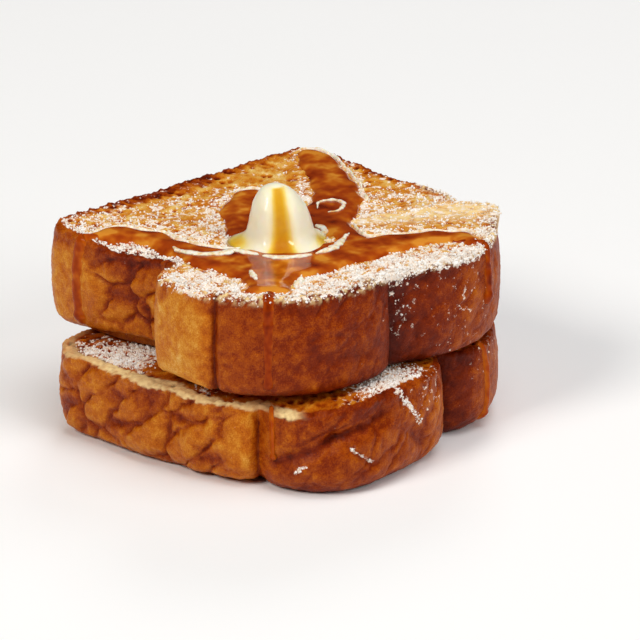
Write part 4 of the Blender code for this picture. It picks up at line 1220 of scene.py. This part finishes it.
def strand(name, points, surfaces, height, per_point=12, plump=0.6):
    """A flattened strand lying on the surfaces, closed at both ends."""
    path = spread(points, per_point * len(points))
    flat = UPPER.to_stack(np.column_stack([path[:, :2], np.full(len(path), UPPER.thick)]))
    flat[:, 0] += STRAND_WANDER * grain(flat, 2.6, 67.0, 2)
    flat[:, 1] += STRAND_WANDER * grain(flat, 2.6, 73.0, 2)
    along = np.gradient(flat[:, :2], axis=0)
    along /= np.hypot(*along.T)[:, None]
    places = np.linspace(0, 1, len(path))
    taper = np.sqrt(np.clip(1 - np.abs(2 * places - 1) ** 6, 0.0, 1))
    rough = np.clip(1 + 0.5 * grain(flat, 1.8, 61.0, 2), 0.4, 1.6)
    half = path[:, 2] * taper * rough
    levels = [top_of(surfaces, x, y) for x, y, _ in flat]
    levels = np.convolve(np.pad(levels, 3, mode="edge"), np.ones(7) / 7, mode="valid")
    turns = np.arange(STRAND_SIDES) * math.tau / STRAND_SIDES
    points = []
    for (x, y, _), (dx, dy), wide, z in zip(flat, along, half, levels):
        for turn in turns:
            out = wide * math.cos(turn)
            up = min(height, plump * wide + 0.05) * math.sin(turn)
            points.append((x - dy * out, y + dx * out, z + 0.12 + up))
    faces = []
    for k in range(len(path) - 1):
        stitch(faces, (k + 1) * STRAND_SIDES, k * STRAND_SIDES, STRAND_SIDES, STRAND_SIDES)
    faces.append(tuple(range(STRAND_SIDES))[::-1])
    faces.append(tuple(range((len(path) - 1) * STRAND_SIDES, len(path) * STRAND_SIDES)))
    return build_mesh(name, points, faces)


# %% Milk material, which also paints the shore highlight, and the streaks
MILK_AND_SHORE_HIGHLIGHT_TONES = ((0.3, "#EFCB8E"), (0.5, "#FAEFD8"), (0.7, "#FFFAF0"))


def milk_and_shore_highlight_material():
    made, tree, shader = new_material(
        "milk_solids_and_painted_shore_highlight", Roughness=0.22, Subsurface_Weight=0.2, Subsurface_Scale=1.0 * MM
    )
    spot = add_node(tree, "ShaderNodeTexCoord").outputs["Object"]
    swirl = add_node(tree, "ShaderNodeTexNoise", {"Vector": spot}, Scale=size(1.6), Detail=2.0)
    colour = add_node(tree, "ShaderNodeValToRGB", {"Fac": swirl.outputs["Fac"]}, stops=MILK_AND_SHORE_HIGHLIGHT_TONES)
    tree.links.new(colour.outputs["Color"], shader.inputs["Base Color"])
    return made


milk_and_shore_highlight = milk_and_shore_highlight_material()
graph = bpy.context.evaluated_depsgraph_get()
below = [BVHTree.FromObject(obj, graph) for obj in (pool, upper)]
streaks = [strand("milk_" + key, points, below, 0.55) for key, points in STREAKS.items()]
# Pale lines along the far shores: partly milk, partly painted highlight of the syrup's meniscus.
for number, points in enumerate(far_shores(plan, plan_faces)):
    streaks.append(strand("milk_and_painted_highlight_shore_" + str(number), points, below, 1.05, per_point=3, plump=1.7))
for piece in streaks:
    piece.data.materials.append(milk_and_shore_highlight)
    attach(piece, "root")
print("streaks and shorelines:", len(streaks))

# %% [markdown]
# ## Powdered sugar
# Icing sugar clumps as it falls, so what one sees is not grains but small soft lumps from a third
# of a millimetre to a millimetre across. Each is a squashed icosahedron. They fall where the slices
# say that sugar lies, more of them where there is more, and sink a little into what they lie on.

# %% Sugar lumps
UPPER_LUMPS = 8200  # 20 triangles each, which keeps the piece below 200,000
LOWER_LUMPS = 4200


def icosahedron():
    """Corners and faces of an icosahedron of radius 1."""
    t = (1 + 5**0.5) / 2
    corners = [(-1, t, 0), (1, t, 0), (-1, -t, 0), (1, -t, 0), (0, -1, t), (0, 1, t)]
    corners += [(0, -1, -t), (0, 1, -t), (t, 0, -1), (t, 0, 1), (-t, 0, -1), (-t, 0, 1)]
    faces = [(0, 11, 5), (0, 5, 1), (0, 1, 7), (0, 7, 10), (0, 10, 11), (1, 5, 9), (5, 11, 4), (11, 10, 2)]
    faces += [(10, 7, 6), (7, 1, 8), (3, 9, 4), (3, 4, 2), (3, 2, 6), (3, 6, 8), (3, 8, 9), (4, 9, 5)]
    faces += [(2, 4, 11), (6, 2, 10), (8, 6, 7), (9, 8, 1)]
    return np.array(corners) / math.hypot(1, t), faces


def sprinkle(name, points, normals, weight, count, seed):
    """Lumps of sugar on the surface points, thickest where the weight is high."""
    rng = np.random.default_rng(seed)
    chance = np.clip(weight - 0.3, 0, 1.0) ** 1.5
    picks = rng.choice(len(points), size=count, p=chance / chance.sum())
    corners, faces = icosahedron()
    made_points, made_faces = [], []
    for order, k in enumerate(picks):
        lump = 0.15 + 0.33 * rng.random() ** 2.4
        turn = Matrix.Rotation(rng.random() * math.tau, 3, Vector(rng.normal(size=3)).normalized())
        stretch = np.array([1 + 0.6 * rng.random(), 1.0, 0.7 + 0.3 * rng.random()])
        shape = (corners * stretch * lump) @ np.array(turn)
        centre = points[k] + rng.normal(size=3) * 0.2 + normals[k] * lump * 0.45
        made_points.append(shape + centre)
        made_faces += [tuple(12 * order + c for c in face) for face in faces]
    return build_mesh(name, np.vstack(made_points), made_faces)


# %% Sugar material, and the lumps on both slices
SUGAR_TONES = ((0.3, "#F1DCC8"), (0.45, "#FBF4EC"), (0.6, "#FFFDFA"))


def sugar_material():
    made, tree, shader = new_material("powdered_sugar", Roughness=0.85)
    spot = add_node(tree, "ShaderNodeTexCoord").outputs["Object"]
    damp = add_node(tree, "ShaderNodeTexNoise", {"Vector": spot}, Scale=size(2.5), Detail=2.0)
    colour = add_node(tree, "ShaderNodeValToRGB", {"Fac": damp.outputs["Fac"]}, stops=SUGAR_TONES)
    tree.links.new(colour.outputs["Color"], shader.inputs["Base Color"])
    return made


icing = sugar_material()
for name, points, normals, weight, count in (
    ("sugar_upper", upper_points, upper_normals, upper_powder, UPPER_LUMPS),
    ("sugar_lower", lower_points, lower_normals, lower_powder, LOWER_LUMPS),
):
    piece = sprinkle(name, points, normals, weight, count, 7)
    piece.data.materials.append(icing)
    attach(piece, "root")
    print(name, len(piece.data.polygons), "triangles")

# %% [markdown]
# ## Studio
# A pale floor that fills the picture, a large soft light above, a softer key from the left and a
# dim surround. The surround is darker near the horizon, because a pool of syrup seen from so low
# mirrors exactly that part, and a bright one would wash its colour out. For the same reason shiny
# things show only the key, and not the three other lamps.

# %% Floor, light and camera
EYE_AZIMUTH = -41.1  # degrees, as are all azimuths and elevations here
EYE_ELEVATION = 21.0
EYE_DISTANCE = 1.4  # metres
AIM = Vector((4.22 + STACK_SHIFT[0], -12.22 + STACK_SHIFT[1], 34.1)) * MM
SENSOR = 36.0
PICTURE_WIDTH = 0.20864  # width of what the picture shows at the aim, in metres


def direction(azimuth, elevation):
    """From the object towards a viewer or a lamp at this azimuth and elevation, in degrees."""
    a, e = math.radians(azimuth), math.radians(elevation)
    return Vector((math.sin(a) * math.cos(e), -math.cos(a) * math.cos(e), math.sin(e)))


def softbox(name, azimuth, elevation, distance, width, power, colour="#FFFFFF", mirrored=True):
    """A round soft lamp that points at the object; mirrored is whether shiny things show it."""
    lamp = bpy.data.lights.new(name, "AREA")
    lamp.shape, lamp.size, lamp.energy, lamp.color = "DISK", width, power, linear(colour)[:3]
    made = bpy.data.objects.new(name, lamp)
    made.visible_glossy = mirrored
    towards = direction(azimuth, elevation)
    made.location = Vector((0, 0, 0.04)) + towards * distance
    made.rotation_euler = towards.to_track_quat("Z", "Y").to_euler()
    bpy.context.scene.collection.objects.link(made)


bpy.ops.mesh.primitive_plane_add(size=12)
floor = bpy.context.object
floor.name = "floor"
paint, _, _ = new_material("pale_studio_floor", Base_Color=linear("#FDFDFD"), Roughness=0.9)
floor.data.materials.append(paint)

softbox("above", 20, 74, 3.4, 2.8, 58, mirrored=False)
softbox("key", -88, 40, 3.4, 1.3, 58, "#FFFBF4")
softbox("fill", 12, 30, 3.4, 1.9, 40, mirrored=False)
softbox("rim", 130, 36, 3.4, 1.2, 20, mirrored=False)

world = bpy.data.worlds.new("surround")
bpy.context.scene.world = world
world.use_nodes = True
tree = world.node_tree
sky = add_node(tree, "ShaderNodeTexCoord")
up = add_node(tree, "ShaderNodeSeparateXYZ", {"Vector": sky.outputs["Generated"]})
glow = add_node(
    tree, "ShaderNodeMapRange", {"Value": up.outputs["Z"]},
    From_Min=0.45, From_Max=0.95, To_Min=0.4, To_Max=1.15,
)
tree.links.new(glow.outputs[0], tree.nodes["Background"].inputs["Strength"])

lens = bpy.data.cameras.new("eye")
lens.sensor_width = SENSOR
lens.lens = SENSOR * EYE_DISTANCE / PICTURE_WIDTH
eye = bpy.data.objects.new("eye", lens)
back = direction(EYE_AZIMUTH, EYE_ELEVATION)
eye.location = AIM + back * EYE_DISTANCE
eye.rotation_euler = back.to_track_quat("Z", "Y").to_euler()
bpy.context.scene.collection.objects.link(eye)
bpy.context.scene.camera = eye
bpy.context.scene.view_settings.view_transform = "Standard"
print("lens:", round(lens.lens, 1), "mm")
